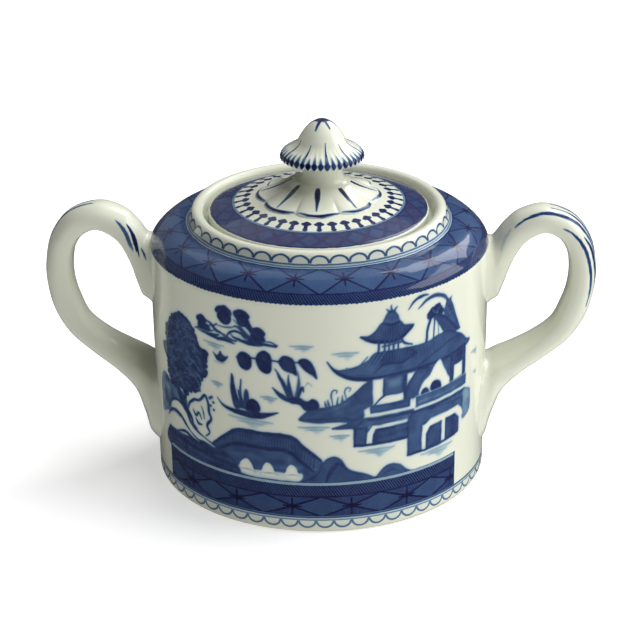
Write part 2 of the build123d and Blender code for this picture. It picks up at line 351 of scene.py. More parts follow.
def paint_island(p):
    """The far shore with its clumps of trees and bare hills."""
    # four clumps of trees
    p.fill([(-36.9, 64.0), (-37.6, 62.4), (-37.9, 60.2), (-35.6, 59.6), (-33.4, 60.0), (-33.6, 61.4),
            (-35.0, 62.0), (-35.9, 63.8)], 0.90)
    p.fill([(-28.4, 69.0), (-29.3, 67.6), (-30.4, 66.2), (-30.3, 64.8), (-29.0, 63.6), (-27.2, 63.4),
            (-26.0, 64.6), (-26.0, 66.4), (-27.0, 67.8), (-27.5, 69.0)], 0.93)
    p.fill([(-21.9, 68.2), (-23.2, 67.6), (-24.9, 67.2), (-24.4, 66.0), (-22.8, 65.2), (-21.4, 63.8),
            (-19.6, 62.3), (-19.2, 63.6), (-20.0, 65.2), (-20.6, 67.0)], 0.92)
    p.fill([(-18.0, 64.0), (-19.2, 62.9), (-19.9, 61.2), (-19.4, 60.2), (-17.0, 59.9), (-15.6, 60.3),
            (-15.9, 61.8), (-17.0, 63.6)], 0.91)
    rng = np.random.default_rng(5)
    for u0, v0, reach in ((-36.6, 62.0, 1.6), (-28.3, 66.2, 2.4), (-22.6, 66.4, 2.2), (-17.8, 61.9, 1.9)):
        for k in range(8):
            a = 0.4 + 0.33 * k
            p.dab(u0 + reach * math.cos(a), v0 + reach * 0.9 * math.sin(a), rng.uniform(1.0, 1.6), 1.2, 0.88)
        p.dab(u0 + 0.3, v0 - 0.8, 1.5 * reach, 1.7 * reach, 0.92)
    # the outlines of the pale hills between them
    p.stroke([(-34.6, 63.0), (-33.0, 62.4), (-31.4, 60.9), (-29.4, 60.3), (-28.0, 59.2)],
             [0.3, 0.8, 0.9, 0.6, 0.3], 0.86)
    p.stroke([(-33.4, 61.6), (-32.2, 61.8), (-30.8, 62.9)], [0.3, 0.5, 0.3], 0.8)
    p.stroke([(-31.0, 62.6), (-28.6, 62.4), (-26.6, 62.6), (-24.6, 63.4)], [0.3, 0.4, 0.5, 0.4], 0.6)
    p.stroke([(-27.6, 59.6), (-26.6, 61.0), (-24.8, 61.9), (-22.8, 61.6), (-21.2, 60.2), (-19.4, 59.4)],
             [0.3, 0.6, 0.7, 0.8, 1.1, 0.5], 0.86)
    p.stroke([(-25.2, 65.4), (-23.4, 64.0), (-21.4, 62.2), (-19.8, 61.0)], [0.2, 0.4, 0.5, 0.3], 0.7)
    p.stroke([(-24.6, 63.6), (-23.0, 63.0), (-21.6, 61.6), (-20.2, 60.6), (-18.4, 59.9)],
             [0.3, 0.8, 0.6, 0.9, 0.5], 0.88)
    p.stroke([(-24.4, 66.4), (-23.6, 65.2), (-22.2, 64.6)], [0.3, 0.7, 0.4], 0.86)
    # the shore in long ribbons
    p.stroke([(-39.3, 59.4), (-37.0, 60.0), (-34.0, 59.9), (-32.0, 60.3)], [0.2, 0.7, 0.6, 0.2], 0.90)
    p.stroke([(-38.0, 59.2), (-35.2, 58.9), (-32.4, 58.9), (-30.2, 59.6)], [0.2, 0.7, 1.1, 0.4], 0.86)
    p.stroke([(-33.4, 58.4), (-30.4, 58.4), (-28.0, 58.6), (-25.0, 58.0)], [0.2, 1.0, 1.1, 0.3], 0.88)
    p.stroke([(-28.4, 60.2), (-26.8, 59.2), (-24.4, 58.8)], [0.3, 0.8, 0.4], 0.82)
    p.stroke([(-26.2, 60.8), (-24.8, 59.8), (-22.0, 59.2), (-19.0, 58.8), (-16.4, 58.9)],
             [0.2, 0.8, 1.0, 0.9, 0.3], 0.90)
    p.stroke([(-20.8, 59.9), (-18.0, 59.5), (-15.2, 59.3), (-12.4, 59.0)], [0.3, 0.9, 0.8, 0.5], 0.92)
    p.stroke([(-16.2, 60.2), (-14.0, 60.2), (-12.1, 59.3)], [0.2, 0.35, 0.5], 0.78)
    p.stroke([(-24.0, 60.6), (-21.0, 60.0)], [0.3, 0.3], 0.3)


def paint_crescent_boat(p):
    p.fill([(-32.4, 53.6), (-31.3, 52.9), (-30.6, 53.4), (-29.9, 54.6), (-29.2, 53.6), (-28.3, 53.2),
            (-27.3, 53.5), (-28.1, 52.2), (-29.4, 51.2), (-31.0, 51.4), (-31.8, 52.3)], 0.9)
    p.stroke([(-32.2, 51.0), (-30.0, 50.8), (-28.6, 51.1)], [0.2, 0.6, 0.2], 0.3)


def paint_oval_trees(p):
    """Four round trees standing in a row along one thin line."""
    p.stroke([(-24.4, 53.9), (-19.5, 54.6), (-13, 54.5), (-6, 54.6)], [0.3, 0.55, 0.55, 0.35], 0.75)
    p.fill([(-24.3, 53.6), (-23.4, 55.6), (-21.8, 56.0), (-20.2, 55.2), (-19.7, 53.4), (-20.2, 51.2),
            (-21.7, 50.4), (-23.4, 51.2)], 0.97)
    p.fill([(-18.4, 54.0), (-17.6, 56.4), (-15.9, 57.4), (-14.2, 56.2), (-13.8, 53.6), (-14.0, 51.2),
            (-15.4, 50.3), (-17.3, 51.3)], 0.97)
    p.fill([(-11.8, 54.2), (-10.9, 56.0), (-9.2, 56.3), (-7.5, 55.3), (-6.9, 53.1), (-6.6, 50.6),
            (-8.1, 51.2), (-10.3, 52.0)], 0.95)
    p.fill([(-6.2, 54.8), (-4.6, 55.8), (-2.8, 55.0), (-1.7, 52.8), (-1.0, 49.6), (-2.6, 50.9),
            (-4.6, 52.4)], 0.93)


def paint_sailboat(p):
    """The boat with a sail."""
    p.fill([(-26.4, 48.3), (-25.7, 47.2), (-25.2, 44.0), (-24.3, 41.0), (-23.2, 38.4), (-25.4, 37.8),
            (-26.4, 40.5), (-26.8, 44.6)], 0.86)
    p.stroke([(-23.2, 47.1), (-23.5, 43.5), (-23.3, 39.0)], [0.3, 0.7, 0.9], 0.78)
    p.stroke([(-24.2, 43.4), (-23.6, 41.2), (-22.9, 38.6)], [0.4, 0.9, 1.2], 0.85)
    p.fill([(-22.8, 38.2), (-22.6, 41.4), (-22.3, 43.4), (-21.7, 44.5), (-21.1, 43.6), (-20.8, 41.2),
            (-20.6, 38.4)], 0.72)
    p.fill([(-21.9, 38.0), (-21.4, 40.3), (-19.9, 41.7), (-18.2, 40.9), (-17.4, 38.9), (-18.6, 37.5)],
           1.0)
    p.fill([(-31.6, 39.6), (-30.1, 38.3), (-27.4, 37.6), (-23, 37.5), (-18, 37.7), (-15, 38.0),
            (-12.1, 38.4), (-14.2, 37.2), (-16.9, 35.9), (-20.5, 35.5), (-24.3, 35.9), (-27.6, 36.5),
            (-30.2, 37.8)], 0.95)


def paint_leaves(p):
    """Long willow leaves over a stump."""
    p.stroke([(-12.9, 52.2), (-11.0, 48.6), (-8.6, 43.4)], [0.15, 1.2, 1.5], 0.85)
    p.stroke([(-13.7, 46.2), (-11.2, 43.8), (-8.0, 42.2)], [0.15, 1.5, 1.0], 0.9)
    p.stroke([(-9.0, 50.6), (-8.9, 47.0), (-7.9, 42.6)], [0.15, 1.2, 1.2], 0.82)
    p.stroke([(-6.3, 51.8), (-6.2, 47.6), (-7.4, 42.4)], [0.15, 1.1, 0.8], 0.6)
    p.fill([(-8.9, 43.2), (-6.4, 43.7), (-4.0, 42.6), (-2.4, 43.3), (-0.8, 42.4), (-0.5, 40.6),
            (-1.6, 39.4), (-4.3, 39.6), (-5.9, 41.2), (-8.2, 41.8)], 0.9)
    p.stroke([(-6.5, 43.6), (-5.9, 45.6), (-5.2, 46.8), (-4.9, 45.6)], [0.8, 0.9, 0.8, 0.3], 0.86)
    p.stroke([(-4.6, 46.9), (-3.6, 48.2), (-2.4, 47.2)], [0.15, 0.5, 0.15], 0.3)


def paint_spit(p):
    """The low point of land that the pavilion stands on, with reeds."""
    p.fill([(-6.4, 36.7), (-5.0, 38.4), (-3.2, 39.9), (-0.2, 40.4), (2.6, 41.0), (5.2, 41.7),
            (7.6, 43.2), (9.8, 44.9), (12.0, 46.8), (14.8, 48.4), (15.6, 45.0), (15.2, 40.4),
            (14.2, 36.0), (13.0, 32.6), (10.2, 33.1), (6.6, 33.4), (3.0, 33.7), (5.6, 34.7),
            (7.2, 35.5), (2.4, 35.7), (-1.6, 35.6), (-4.6, 36.0)], 0.66, 0.16, streaks=(24, 2.6, 0.03))
    p.stroke([(-5.6, 36.7), (-1.0, 36.7), (5.6, 36.9), (9.6, 36.2)], [0.3, 1.0, 1.1, 0.6], 0.80)
    p.stroke([(3.4, 33.9), (7.4, 34.1), (11.0, 33.9)], [0.3, 0.9, 0.9], 0.78)
    p.fill([(9.6, 44.4), (12.6, 46.8), (14.6, 47.8), (14.8, 43.0), (12.0, 40.6), (10.2, 41.8)], 0.74,
           0.02)
    for u, v in ((1.2, 42.6), (2.0, 43.0)):
        p.stroke([(u, v), (u + 0.2, v - 1.6), (u + 0.6, v - 2.4)], [0.15, 0.6, 0.5], 0.75)
    p.stroke([(3.4, 41.0), (2.9, 44.2), (3.5, 45.9), (4.5, 45.7), (4.4, 44.9)],
             [0.3, 0.3, 0.45, 0.4, 0.2], 0.66)
    p.stroke([(7.3, 42.6), (6.8, 45.2), (7.4, 46.5), (8.3, 46.2), (8.0, 45.3)],
             [0.3, 0.3, 0.4, 0.35, 0.2], 0.62)
    p.stroke([(4.6, 41.6), (4.9, 43.6)], [0.6, 0.2], 0.7)
    p.stroke([(6.0, 42.2), (6.1, 44.0)], [0.6, 0.2], 0.7)


def paint_pavilion(p):
    """A river house with two curled roofs, its terrace, and the landing stage under it."""
    # plumes behind the roof
    p.stroke([(25.6, 67.8), (27.6, 69.9), (30.4, 70.8), (32.4, 70.6)], [0.2, 0.7, 0.9, 0.2], 0.8)
    p.stroke([(29.0, 67.2), (31.4, 69.0), (34.6, 69.7), (37.8, 68.9), (40.2, 66.6), (41.0, 64.8)],
             [0.2, 0.8, 1.1, 1.1, 0.9, 0.4], 0.75)
    # gable at the back
    p.block([(39.6, 66.4), (41.2, 67.2), (42.7, 64.2), (44.4, 60.0), (46.4, 55.8), (41.6, 55.6),
             (38.4, 58.6), (37.8, 62.6)], 0.70, 0.16, streaks=(-62, 1.7, 0.06))
    p.stroke([(40.0, 66.9), (41.0, 66.0), (41.9, 67.4)], [0.2, 0.5, 0.2], 0.7)
    p.blank([(31.6, 55.8), (32.2, 60.4), (33.2, 63.4), (38.4, 63.6), (39.6, 60.0), (40.0, 55.8)])
    p.stroke([(31.9, 55.8), (32.3, 59.6), (33.6, 63.6)], [0.8, 0.8, 0.8], 0.85)
    p.stroke([(34.6, 56.2), (34.8, 59.4), (34.9, 63.0)], [0.5, 0.5, 0.6], 0.72)
    p.stroke([(36.6, 56.2), (36.5, 59.4), (36.2, 62.6)], [0.3, 0.4, 0.3], 0.45)
    p.stroke([(34.8, 63.6), (37.4, 61.6), (40.0, 58.6), (42.2, 56.2)], [1.4, 2.8, 3.8, 4.0], 0.78)
    p.stroke([(34.8, 64.0), (38.4, 62.4), (41.6, 59.4), (44.4, 56.6)], [0.5, 0.7, 0.7, 0.7], 0.9)
    p.clump([(34.2, 64.8, 1.1), (36.2, 65.6, 1.1), (33.4, 63.9, 0.7), (37.2, 64.6, 0.7)], 0.84, 1.4, 21)
    p.stroke([(34.0, 65.6), (35.2, 64.4), (36.8, 65.4)], [0.3, 0.5, 0.3], 0.62)
    # small upper roof with a domed cap
    p.fill([(17.7, 63.6), (18.1, 66.4), (19.2, 68.3), (20.7, 68.7), (22.0, 67.6), (22.8, 65.4),
            (22.9, 63.4)], 0.62, 0.26)
    for du, dv in ((-1.6, 1.1), (-0.1, 2.0), (1.5, 1.3)):
        p.stroke([(20.4 + du * 0.4, 68.2), (20.4 + du, 68.2 + dv)], [0.6, 0.25], 0.85)
    p.fill([(11.1, 61.9), (13.4, 61.9), (15.4, 63.1), (17.4, 65.4), (20.4, 64.6), (22.8, 65.0),
            (24.6, 63.4), (27.6, 63.0), (25.8, 60.8), (22.6, 59.4), (17.6, 59.3), (13.6, 60.1)], 0.76,
           0.12, streaks=(86, 0.75, 0.05))
    p.stroke([(17.8, 64.9), (20.4, 64.2), (22.8, 64.6)], [0.3, 0.5, 0.3], 0.90)
    p.stroke([(18.0, 65.9), (20.4, 65.2), (22.6, 65.5)], [0.3, 0.35, 0.3], 0.55)
    p.stroke([(11.3, 61.7), (14.4, 60.0), (18.6, 59.3), (23.0, 59.4), (27.3, 62.7)],
             [0.3, 0.9, 1.0, 0.9, 0.3], 0.96)
    # pillars and rail between the two roofs
    for u in (16.4, 18.2, 19.6, 21.0, 22.4):
        p.stroke([(u, 56.0), (u + 0.15, 59.6)], [0.6, 0.6], 0.78)
    p.stroke([(17.6, 57.9), (23.6, 58.4)], [0.55, 0.7], 0.7)
    p.stroke([(23.2, 59.6), (24.6, 57.8), (27.0, 56.8)], [0.4, 0.7, 0.4], 0.86)
    # main roof
    p.fill([(1.7, 54.9), (3.0, 53.2), (5.2, 52.2), (8.4, 52.5), (11.4, 53.4), (13.8, 54.8),
            (15.6, 56.4), (20.0, 56.3), (26.0, 56.2), (32.0, 56.1), (36.0, 57.0), (40.0, 57.2),
            (44.0, 55.6), (47.4, 53.6), (49.6, 51.6), (52.1, 50.4), (50.4, 49.2), (44.0, 48.4),
            (36.0, 48.2), (28.0, 48.2), (20.0, 48.1), (13.0, 48.2), (8.2, 49.0), (4.4, 50.9)], 0.68,
           0.18, per=4, streaks=(88, 0.8, 0.03))
    p.fill([(14.2, 53.2), (16.4, 56.0), (20.0, 56.3), (25.6, 56.0), (28.8, 53.4), (24.0, 52.2),
            (18.6, 52.0)], 0.80, 0.06, streaks=(86, 0.8, 0.08))
    for k in range(5):
        u = 11.6 + 1.25 * k
        p.stroke([(u + 1.6, 55.4 + 0.16 * k), (u, 53.6), (u - 1.8, 51.6), (u - 4.0, 50.4)],
                 [0.3, 0.4, 0.35, 0.2], 0.56)
    for k in range(3):
        p.stroke([(5.0 + k, 51.6 + 0.5 * k), (11.0 + k, 50.6 + 0.4 * k), (17.0 + k, 50.0 + 0.4 * k)],
                 [0.2, 0.4, 0.2], 0.60)
    for k in range(14):
        u = 29.6 + 1.25 * k
        p.stroke([(u, 55.3 - 0.16 * k), (u + 0.5, 52.2)], [0.3, 0.2], 0.80)
    p.stroke([(15.2, 50.2), (18.6, 52.4), (24.0, 52.0), (28.4, 54.4)], [0.3, 0.6, 0.6, 0.3], 0.88)
    p.stroke([(27.6, 48.8), (34.0, 51.4), (41.0, 53.6), (46.6, 53.8)], [0.3, 0.5, 0.6, 0.3], 0.84)
    p.stroke([(1.9, 54.5), (4.6, 51.4), (8.4, 49.3), (13.6, 48.5), (24, 48.5), (38, 48.6),
              (49.4, 49.4)], [0.3, 1.1, 1.2, 1.1, 1.0, 1.1, 0.8], 0.94)
    # middle storey
    p.block([(13.4, 36.4), (13.4, 48.3), (49.7, 48.6), (49.7, 36.4)], 0.70, 0.05)
    p.blank([(14.9, 40.2), (14.9, 48.0), (18.0, 48.0), (18.0, 40.2)])
    p.block([(17.9, 42.4), (18.1, 48.2), (24.3, 48.2), (24.3, 42.2)], 0.58, 0.24)
    p.blank([(14.9, 40.0), (18.4, 42.4), (24.6, 42.2), (24.6, 40.0)])
    p.stroke([(15.2, 39.9), (16.6, 41.4), (18.2, 42.6)], [0.5, 0.5, 0.6], 0.8)
    p.stroke([(24.9, 39.6), (24.9, 48.2)], [0.9, 0.9], 0.85)
    p.blank([(25.6, 44.4), (25.6, 47.9), (28.2, 47.9), (26.4, 45.6)])
    p.fill([(25.5, 39.8), (25.8, 44.4), (27.4, 46.6), (29.8, 48.6), (33.4, 47.6), (31.8, 45.6),
            (29.9, 43.6), (29.6, 39.8)], 0.70, 0.16)
    p.blank([(30.3, 39.7), (30.9, 43.4), (33.6, 45.4), (35.2, 47.6), (37.5, 49.0), (39.0, 46.0),
             (40.4, 43.6), (41.9, 39.7)], smooth=True)
    p.fill([(30.4, 39.6), (30.7, 41.2), (32.0, 41.8), (33.1, 40.8), (33.2, 39.6)], 0.92)
    p.fill([(33.8, 40.6), (34.3, 42.5), (35.9, 43.0), (37.6, 42.0), (38.0, 39.7), (35.4, 39.5)], 0.95)
    p.stroke([(42.5, 39.6), (42.6, 48.6)], [1.5, 1.4], 0.86)
    p.blank([(43.6, 40.4), (43.7, 45.0), (47.9, 45.1), (47.8, 40.6)])
    p.block([(43.5, 45.1), (43.6, 48.4), (48.2, 48.6), (48.0, 45.1)], 0.88, 0.05)
    p.stroke([(48.9, 39.8), (49.0, 48.8)], [0.9, 0.9], 0.9)
    # terrace rail and beams
    p.blank([(12.3, 36.3), (12.4, 38.8), (14.0, 39.8), (27.4, 39.6), (28.0, 36.3)])
    p.block([(14.1, 37.5), (14.1, 39.9), (26.6, 39.7), (26.6, 37.4)], 0.68, 0.20)
    p.blank([(27.4, 35.5), (27.6, 39.4), (28.6, 40.0), (50.6, 40.2), (50.6, 35.6)])
    p.block([(28.5, 36.5), (28.5, 39.8), (50.2, 39.9), (50.2, 36.8)], 0.60, 0.22,
            streaks=(0, 1.6, 0.04))
    p.block([(9.2, 27.6), (9.2, 33.6), (12.6, 36.3), (28.0, 36.3), (28.0, 35.6), (49.4, 35.6),
             (53.0, 33.9), (53.1, 27.6), (50.4, 26.2), (48.9, 26.4), (48.8, 30.2), (46.8, 31.2),
             (26.0, 33.0), (26.4, 27.4)], 0.60, 0.22, streaks=(0, 1.9, 0.04))
    p.stroke([(13.6, 35.6), (27.6, 35.5)], [0.9, 0.9], 0.84)
    p.stroke([(28.6, 35.0), (48.6, 35.1)], [0.8, 0.8], 0.82)
    p.fill([(48.4, 26.2), (48.5, 34.8), (53.0, 33.7), (53.2, 27.8), (50.6, 26.0)], 0.44, 0.12)
    # left landing: leg, white arch line, dark opening
    p.block([(9.3, 27.6), (9.5, 33.4), (13.2, 33.6), (13.0, 27.6)], 0.64, 0.26)
    p.blank([(13.0, 27.6), (13.2, 31.4), (14.8, 33.5), (26.4, 33.5), (26.4, 32.6), (15.6, 32.6),
             (15.0, 31.0), (14.8, 27.8)], soft=0.2)
    p.block([(14.9, 27.6), (15.1, 30.6), (16.2, 32.3), (26.2, 32.3), (26.2, 27.6)], 0.78, 0.14,
            streaks=(0, 2.3, 0.05))
    p.stroke([(9.4, 27.7), (18.0, 27.6), (26.2, 27.8)], [0.5, 0.6, 0.6], 0.92)
    # right landing: block, white arch, two panels
    p.block([(25.8, 21.6), (25.9, 33.2), (27.4, 35.2), (30.0, 35.2), (48.6, 33.4), (48.8, 29.0),
             (31.0, 30.0), (31.0, 21.7)], 0.66, 0.22)
    p.blank([(31.0, 21.6), (30.9, 27.6), (32.0, 29.8), (34.2, 31.2), (46.2, 31.3), (48.3, 29.6),
             (48.8, 27.4), (47.6, 27.0), (47.0, 22.2), (40.0, 21.9)])
    p.block([(32.4, 22.0), (32.4, 26.8), (34.0, 28.8), (38.6, 29.1), (38.6, 22.2)], 0.74, 0.18)
    p.block([(40.2, 22.3), (40.2, 29.2), (44.6, 29.2), (46.8, 27.2), (46.8, 23.0), (45.6, 22.4)], 0.76,
            0.16)
    p.stroke([(26.0, 21.7), (33, 21.8), (40.0, 22.1), (46.4, 22.6)], [0.4, 0.6, 0.6, 0.4], 0.92)


def paint_bridge(p):
    """A low three-arched bridge, its sloping rail, and the bank at its foot."""
    p.block([(-34.0, 24.0), (-29.4, 28.2), (-24.6, 31.3), (-16.6, 31.5), (-8.9, 31.4), (-4.6, 28.0),
             (-0.2, 24.2), (1.4, 22.0), (0.4, 16.2), (-36.0, 16.2)], 0.68, 0.12, mottle=0.12,
            streaks=(2, 2.8, 0.03))
    p.stroke([(-33.8, 24.2), (-29.2, 28.0), (-24.5, 30.9), (-16.6, 31.1), (-9.0, 31.0), (-4.8, 27.6),
              (-0.4, 23.8)], [0.5, 1.0, 1.1, 1.1, 1.1, 1.0, 0.6], 0.93)
    p.stroke([(-31.8, 23.0), (-27.8, 25.4), (-24.0, 26.5), (-16.6, 26.5), (-9.9, 26.4), (-6.0, 23.4),
              (-2.4, 20.2)], [0.4, 1.0, 1.2, 1.2, 1.2, 1.1, 0.6], 0.96)
    for k in range(24):
        u = -26.6 + 0.82 * k
        p.stroke([(u, 30.6), (u + 0.1, 27.2)], [0.32, 0.32], 0.86)
    for k in range(8):
        u, v = -8.0 + 0.86 * k, 29.9 - 0.74 * k
        p.stroke([(u, v), (u - 0.3, v - 3.4)], [0.3, 0.3], 0.86)
        u, v = -33.0 + 0.84 * k, 24.4 + 0.66 * k
        p.stroke([(u, v), (u + 0.4, v - 2.6)], [0.3, 0.3], 0.85)
    p.fill([(-25.6, 19.2), (-23.6, 19.6), (-20.0, 19.2), (-14.0, 19.4), (-8.0, 19.2), (-5.6, 19.4),
            (-6.2, 17.0), (-12.0, 16.7), (-22.0, 16.8), (-25.0, 17.6)], 0.10, 0.05)
    for u, w in ((-22.4, 4.0), (-15.6, 3.5), (-8.6, 3.3)):
        p.blank([(u - w / 2, 17.9), (u - w / 2, 20.2), (u - w / 4, 21.7), (u, 22.1), (u + w / 4, 21.7),
                 (u + w / 2, 20.2), (u + w / 2, 17.9)], soft=0.2, smooth=True)
    p.stroke([(-24.4, 18.6), (-21.8, 18.8), (-19.4, 18.4)], [0.1, 0.5, 0.1], 0.32)
    p.stroke([(-17.8, 18.4), (-14.6, 18.8), (-12.4, 18.4)], [0.1, 0.5, 0.1], 0.32)
    p.stroke([(-10.4, 18.4), (-8.4, 18.8), (-6.4, 18.5)], [0.1, 0.5, 0.1], 0.3)
    p.fill([(-2.2, 18.6), (-0.2, 22.0), (1.2, 23.9), (3.4, 24.9), (5.6, 24.0), (7.0, 21.4), (9.4, 19.8),
            (12.6, 18.7), (14.8, 17.4), (15.8, 15.8), (-6.0, 15.8)], 0.70, 0.16)
    p.stroke([(1.2, 16.6), (2.8, 20.4), (5.0, 22.6), (7.0, 20.4)], [0.4, 1.3, 1.0, 0.3], 0.86)
    p.fill([(15.4, 15.8), (16.2, 17.4), (18.2, 19.6), (20.8, 20.5), (23.4, 19.6), (25.6, 17.6),
            (27.4, 15.8)], 0.68, 0.16)
    p.stroke([(17.6, 16.8), (20.4, 18.6), (23.6, 17.4)], [0.3, 0.9, 0.3], 0.8)


def paint_left_bank(p):
    """A broad leafy tree over pale rocks and a dark bank."""
    p.fill([(-61.5, 24.6), (-61.8, 30.0), (-60.4, 36.0), (-57.4, 38.6), (-53.6, 37.4), (-50.0, 37.2),
            (-46.0, 36.0), (-44.2, 33.0), (-47.0, 28.4), (-51.0, 26.2), (-55.6, 26.6), (-58.4, 25.4)],
           0.52, 0.10, 0.5, mottle=0.14)
    p.fill([(-56.0, 15.8), (-56.0, 21.4), (-52.4, 22.3), (-47.0, 22.8), (-41.0, 23.0), (-35.0, 24.0),
            (-30.6, 22.8), (-26.0, 20.4), (-27.0, 15.8)], 0.82, 0.08, streaks=(-3, 2.2, 0.06))
    # tree: trunk, then the crown as overlapping leaf touches
    p.stroke([(-49.0, 37.2), (-47.6, 34.6), (-45.2, 31.6), (-42.8, 29.4)], [1.6, 2.4, 1.8, 0.7], 0.90)
    p.stroke([(-44.6, 36.6), (-45.6, 34.4), (-46.8, 33.6)], [0.8, 1.4, 1.4], 0.86)
    crown = [(-46.0, 61.0), (-49.2, 59.4), (-50.6, 56.6), (-54.4, 54.4), (-54.6, 50.0), (-56.6, 46.4),
             (-54.6, 44.0), (-53.8, 39.6), (-51.6, 37.0), (-47.6, 38.0), (-44.6, 36.6), (-41.8, 38.6),
             (-39.2, 40.2), (-38.2, 43.4), (-35.8, 45.2), (-36.4, 49.4), (-35.6, 52.2), (-38.4, 53.4),
             (-39.6, 56.8), (-42.0, 59.6)]
    p.fill(crown, 0.74, 0.06, 0.35, mottle=0.14)
    edge = flowing(crown, True, 3)
    rng = np.random.default_rng(12)
    for u, v in edge:
        p.dab(u + rng.uniform(-0.4, 0.4), v + rng.uniform(-0.4, 0.4), rng.uniform(1.5, 2.6),
              rng.uniform(1.2, 1.9), 0.82 + rng.uniform(-0.06, 0.08), rng.uniform(-30, 30))
    for k in range(230):
        v = 39.4 + 19.6 * ((k * 0.618) % 1.0)
        middle = -45.6 + 0.10 * (48.0 - v)
        half = 1.6 + 6.0 * math.sqrt(max(0.0, 1 - ((v - 47.5) / 13.0) ** 2))
        u = middle + rng.uniform(-half, half)
        tone = 0.92 if k % 2 else 0.56
        lean = 0.05 * (u - middle)
        p.stroke([(u - 0.9, v - 0.3 + lean), (u, v + 0.3), (u + 0.9, v - 0.25 - lean)], [0.2, 0.6, 0.2],
                 tone, 0.3)
    # rocks: white mounds with ribbons of dark line
    p.blank([(-54.0, 28.9), (-52.6, 31.0), (-50.4, 32.2), (-47.8, 32.0), (-45.4, 30.2), (-43.4, 27.6),
             (-44.6, 26.4), (-47.6, 28.4), (-50.4, 29.2), (-52.4, 28.6)], smooth=True)
    p.blank([(-55.2, 22.4), (-55.2, 25.4), (-53.4, 27.0), (-50.4, 27.6), (-47.4, 26.4), (-45.0, 24.4),
             (-43.0, 23.2), (-45.4, 22.5), (-50.0, 22.2)], smooth=True)
    p.stroke([(-55.4, 28.2), (-52.4, 31.6), (-48.6, 32.5), (-45.2, 30.8), (-42.6, 27.4), (-38.6, 25.0),
              (-34.6, 23.6), (-31.0, 22.6)], [0.3, 0.6, 0.7, 0.8, 1.2, 1.1, 1.0, 0.3], 0.88)
    p.stroke([(-56.2, 25.2), (-53.4, 28.0), (-50.0, 28.6), (-46.8, 27.2), (-43.6, 24.6), (-40.0, 23.2),
              (-37.4, 22.4)], [0.3, 0.6, 0.8, 0.9, 0.9, 0.7, 0.4], 0.86)
    p.stroke([(-44.6, 28.4), (-41.6, 25.6), (-37.6, 24.2), (-33.2, 23.0)], [0.3, 1.1, 1.0, 0.2], 0.02)
    p.stroke([(-45.8, 25.6), (-42.6, 23.7), (-39.6, 22.6)], [0.2, 0.7, 0.2], 0.03)
    p.blank([(-43.6, 31.0), (-43.6, 33.4), (-41.6, 35.6), (-38.8, 36.4), (-36.6, 38.4), (-35.4, 36.8),
             (-34.8, 33.2), (-34.4, 30.4), (-35.6, 28.4), (-35.4, 26.2), (-39.0, 26.2), (-41.6, 28.0)],
            smooth=True)
    p.stroke([(-44.4, 31.4), (-43.2, 33.8), (-41.2, 35.6), (-38.4, 36.6), (-36.4, 38.6), (-35.2, 36.8),
              (-34.9, 33.6), (-34.2, 31.6), (-35.8, 29.2), (-35.0, 27.2), (-36.4, 25.6)],
             [0.5, 0.8, 0.9, 0.7, 0.9, 0.7, 0.9, 0.7, 0.9, 0.6, 0.3], 0.86)
    p.stroke([(-43.8, 31.2), (-42.4, 29.4), (-41.8, 27.8), (-40.2, 26.6)], [0.6, 0.9, 0.6, 0.3], 0.84)
    p.stroke([(-41.6, 32.4), (-40.4, 31.0), (-39.2, 32.2), (-38.0, 30.4)], [0.3, 0.8, 0.6, 0.3], 0.8)
    p.stroke([(-40.6, 30.0), (-39.4, 28.6), (-38.0, 28.8)], [0.3, 0.9, 0.3], 0.85)
    p.stroke([(-38.0, 34.6), (-37.2, 32.8), (-36.8, 30.8)], [0.2, 0.5, 0.2], 0.7)
    for u, v in ((-34.4, 38.4), (-33.2, 37.4), (-34.2, 36.0), (-33.0, 35.0), (-33.6, 38.9)):
        p.dab(u, v, 1.0, 0.9, 0.62, 20)
    p.stroke([(-54.6, 19.8), (-48.0, 20.6), (-40.0, 20.2), (-33.0, 21.0)], [0.3, 1.0, 0.9, 0.3], 0.95)
    p.stroke([(-50.0, 22.4), (-46.0, 23.6), (-42.0, 22.6), (-38.0, 22.0)], [0.3, 0.9, 0.7, 0.3], 0.92)


def bled(ink, passes=8, share=0.5):
    """The faint blue bloom that fired cobalt leaves round every mark."""
    halo = ink.copy()
    for _ in range(passes):
        halo[1:-1] = 0.25 * halo[:-2] + 0.5 * halo[1:-1] + 0.25 * halo[2:]
        halo[:, 1:-1] = 0.25 * halo[:, :-2] + 0.5 * halo[:, 1:-1] + 0.25 * halo[:, 2:]
    return np.maximum(ink, share * halo)


def paint_river_scene(u, v):
    """The ink at every point of a grid on the wall, from the farthest thing to the nearest."""
    p = Paint(u, v, 0.11)
    for paint_part in (paint_water, paint_island, paint_crescent_boat, paint_oval_trees, paint_sailboat,
                       paint_leaves, paint_spit, paint_pavilion, paint_bridge, paint_left_bank):
        paint_part(p)
    softened = p.ink - 0.38 * np.maximum(p.ink - 0.60, 0)
    inside = step(u, PRINT_LEFT - 6.3, PRINT_LEFT - 5.4)
    return bled(softened) * inside


# ---- meshes ---------------------------------------------------------------------------
def make_piece(name, verts, faces, fields):
    """A smooth-shaded mesh object from points in millimetres, with its named point fields."""
    mesh = bpy.data.meshes.new(name)
    mesh.from_pydata((np.asarray(verts) * MM).tolist(), [], faces)
    mesh.update()
    mesh.polygons.foreach_set("use_smooth", np.ones(len(mesh.polygons), bool))
    for key, values in fields.items():
        layer = mesh.attributes.new(key, "FLOAT", "POINT")
        layer.data.foreach_set("value", np.asarray(values, np.float32).ravel())
    piece = bpy.data.objects.new(name, mesh)
    bpy.context.scene.collection.objects.link(piece)
    return piece


def ring_faces(first, second, count):
    """Quads between two rings of count points that start at those indices."""
    return [(first + i, first + (i + 1) % count, second + (i + 1) % count, second + i)
            for i in range(count)]


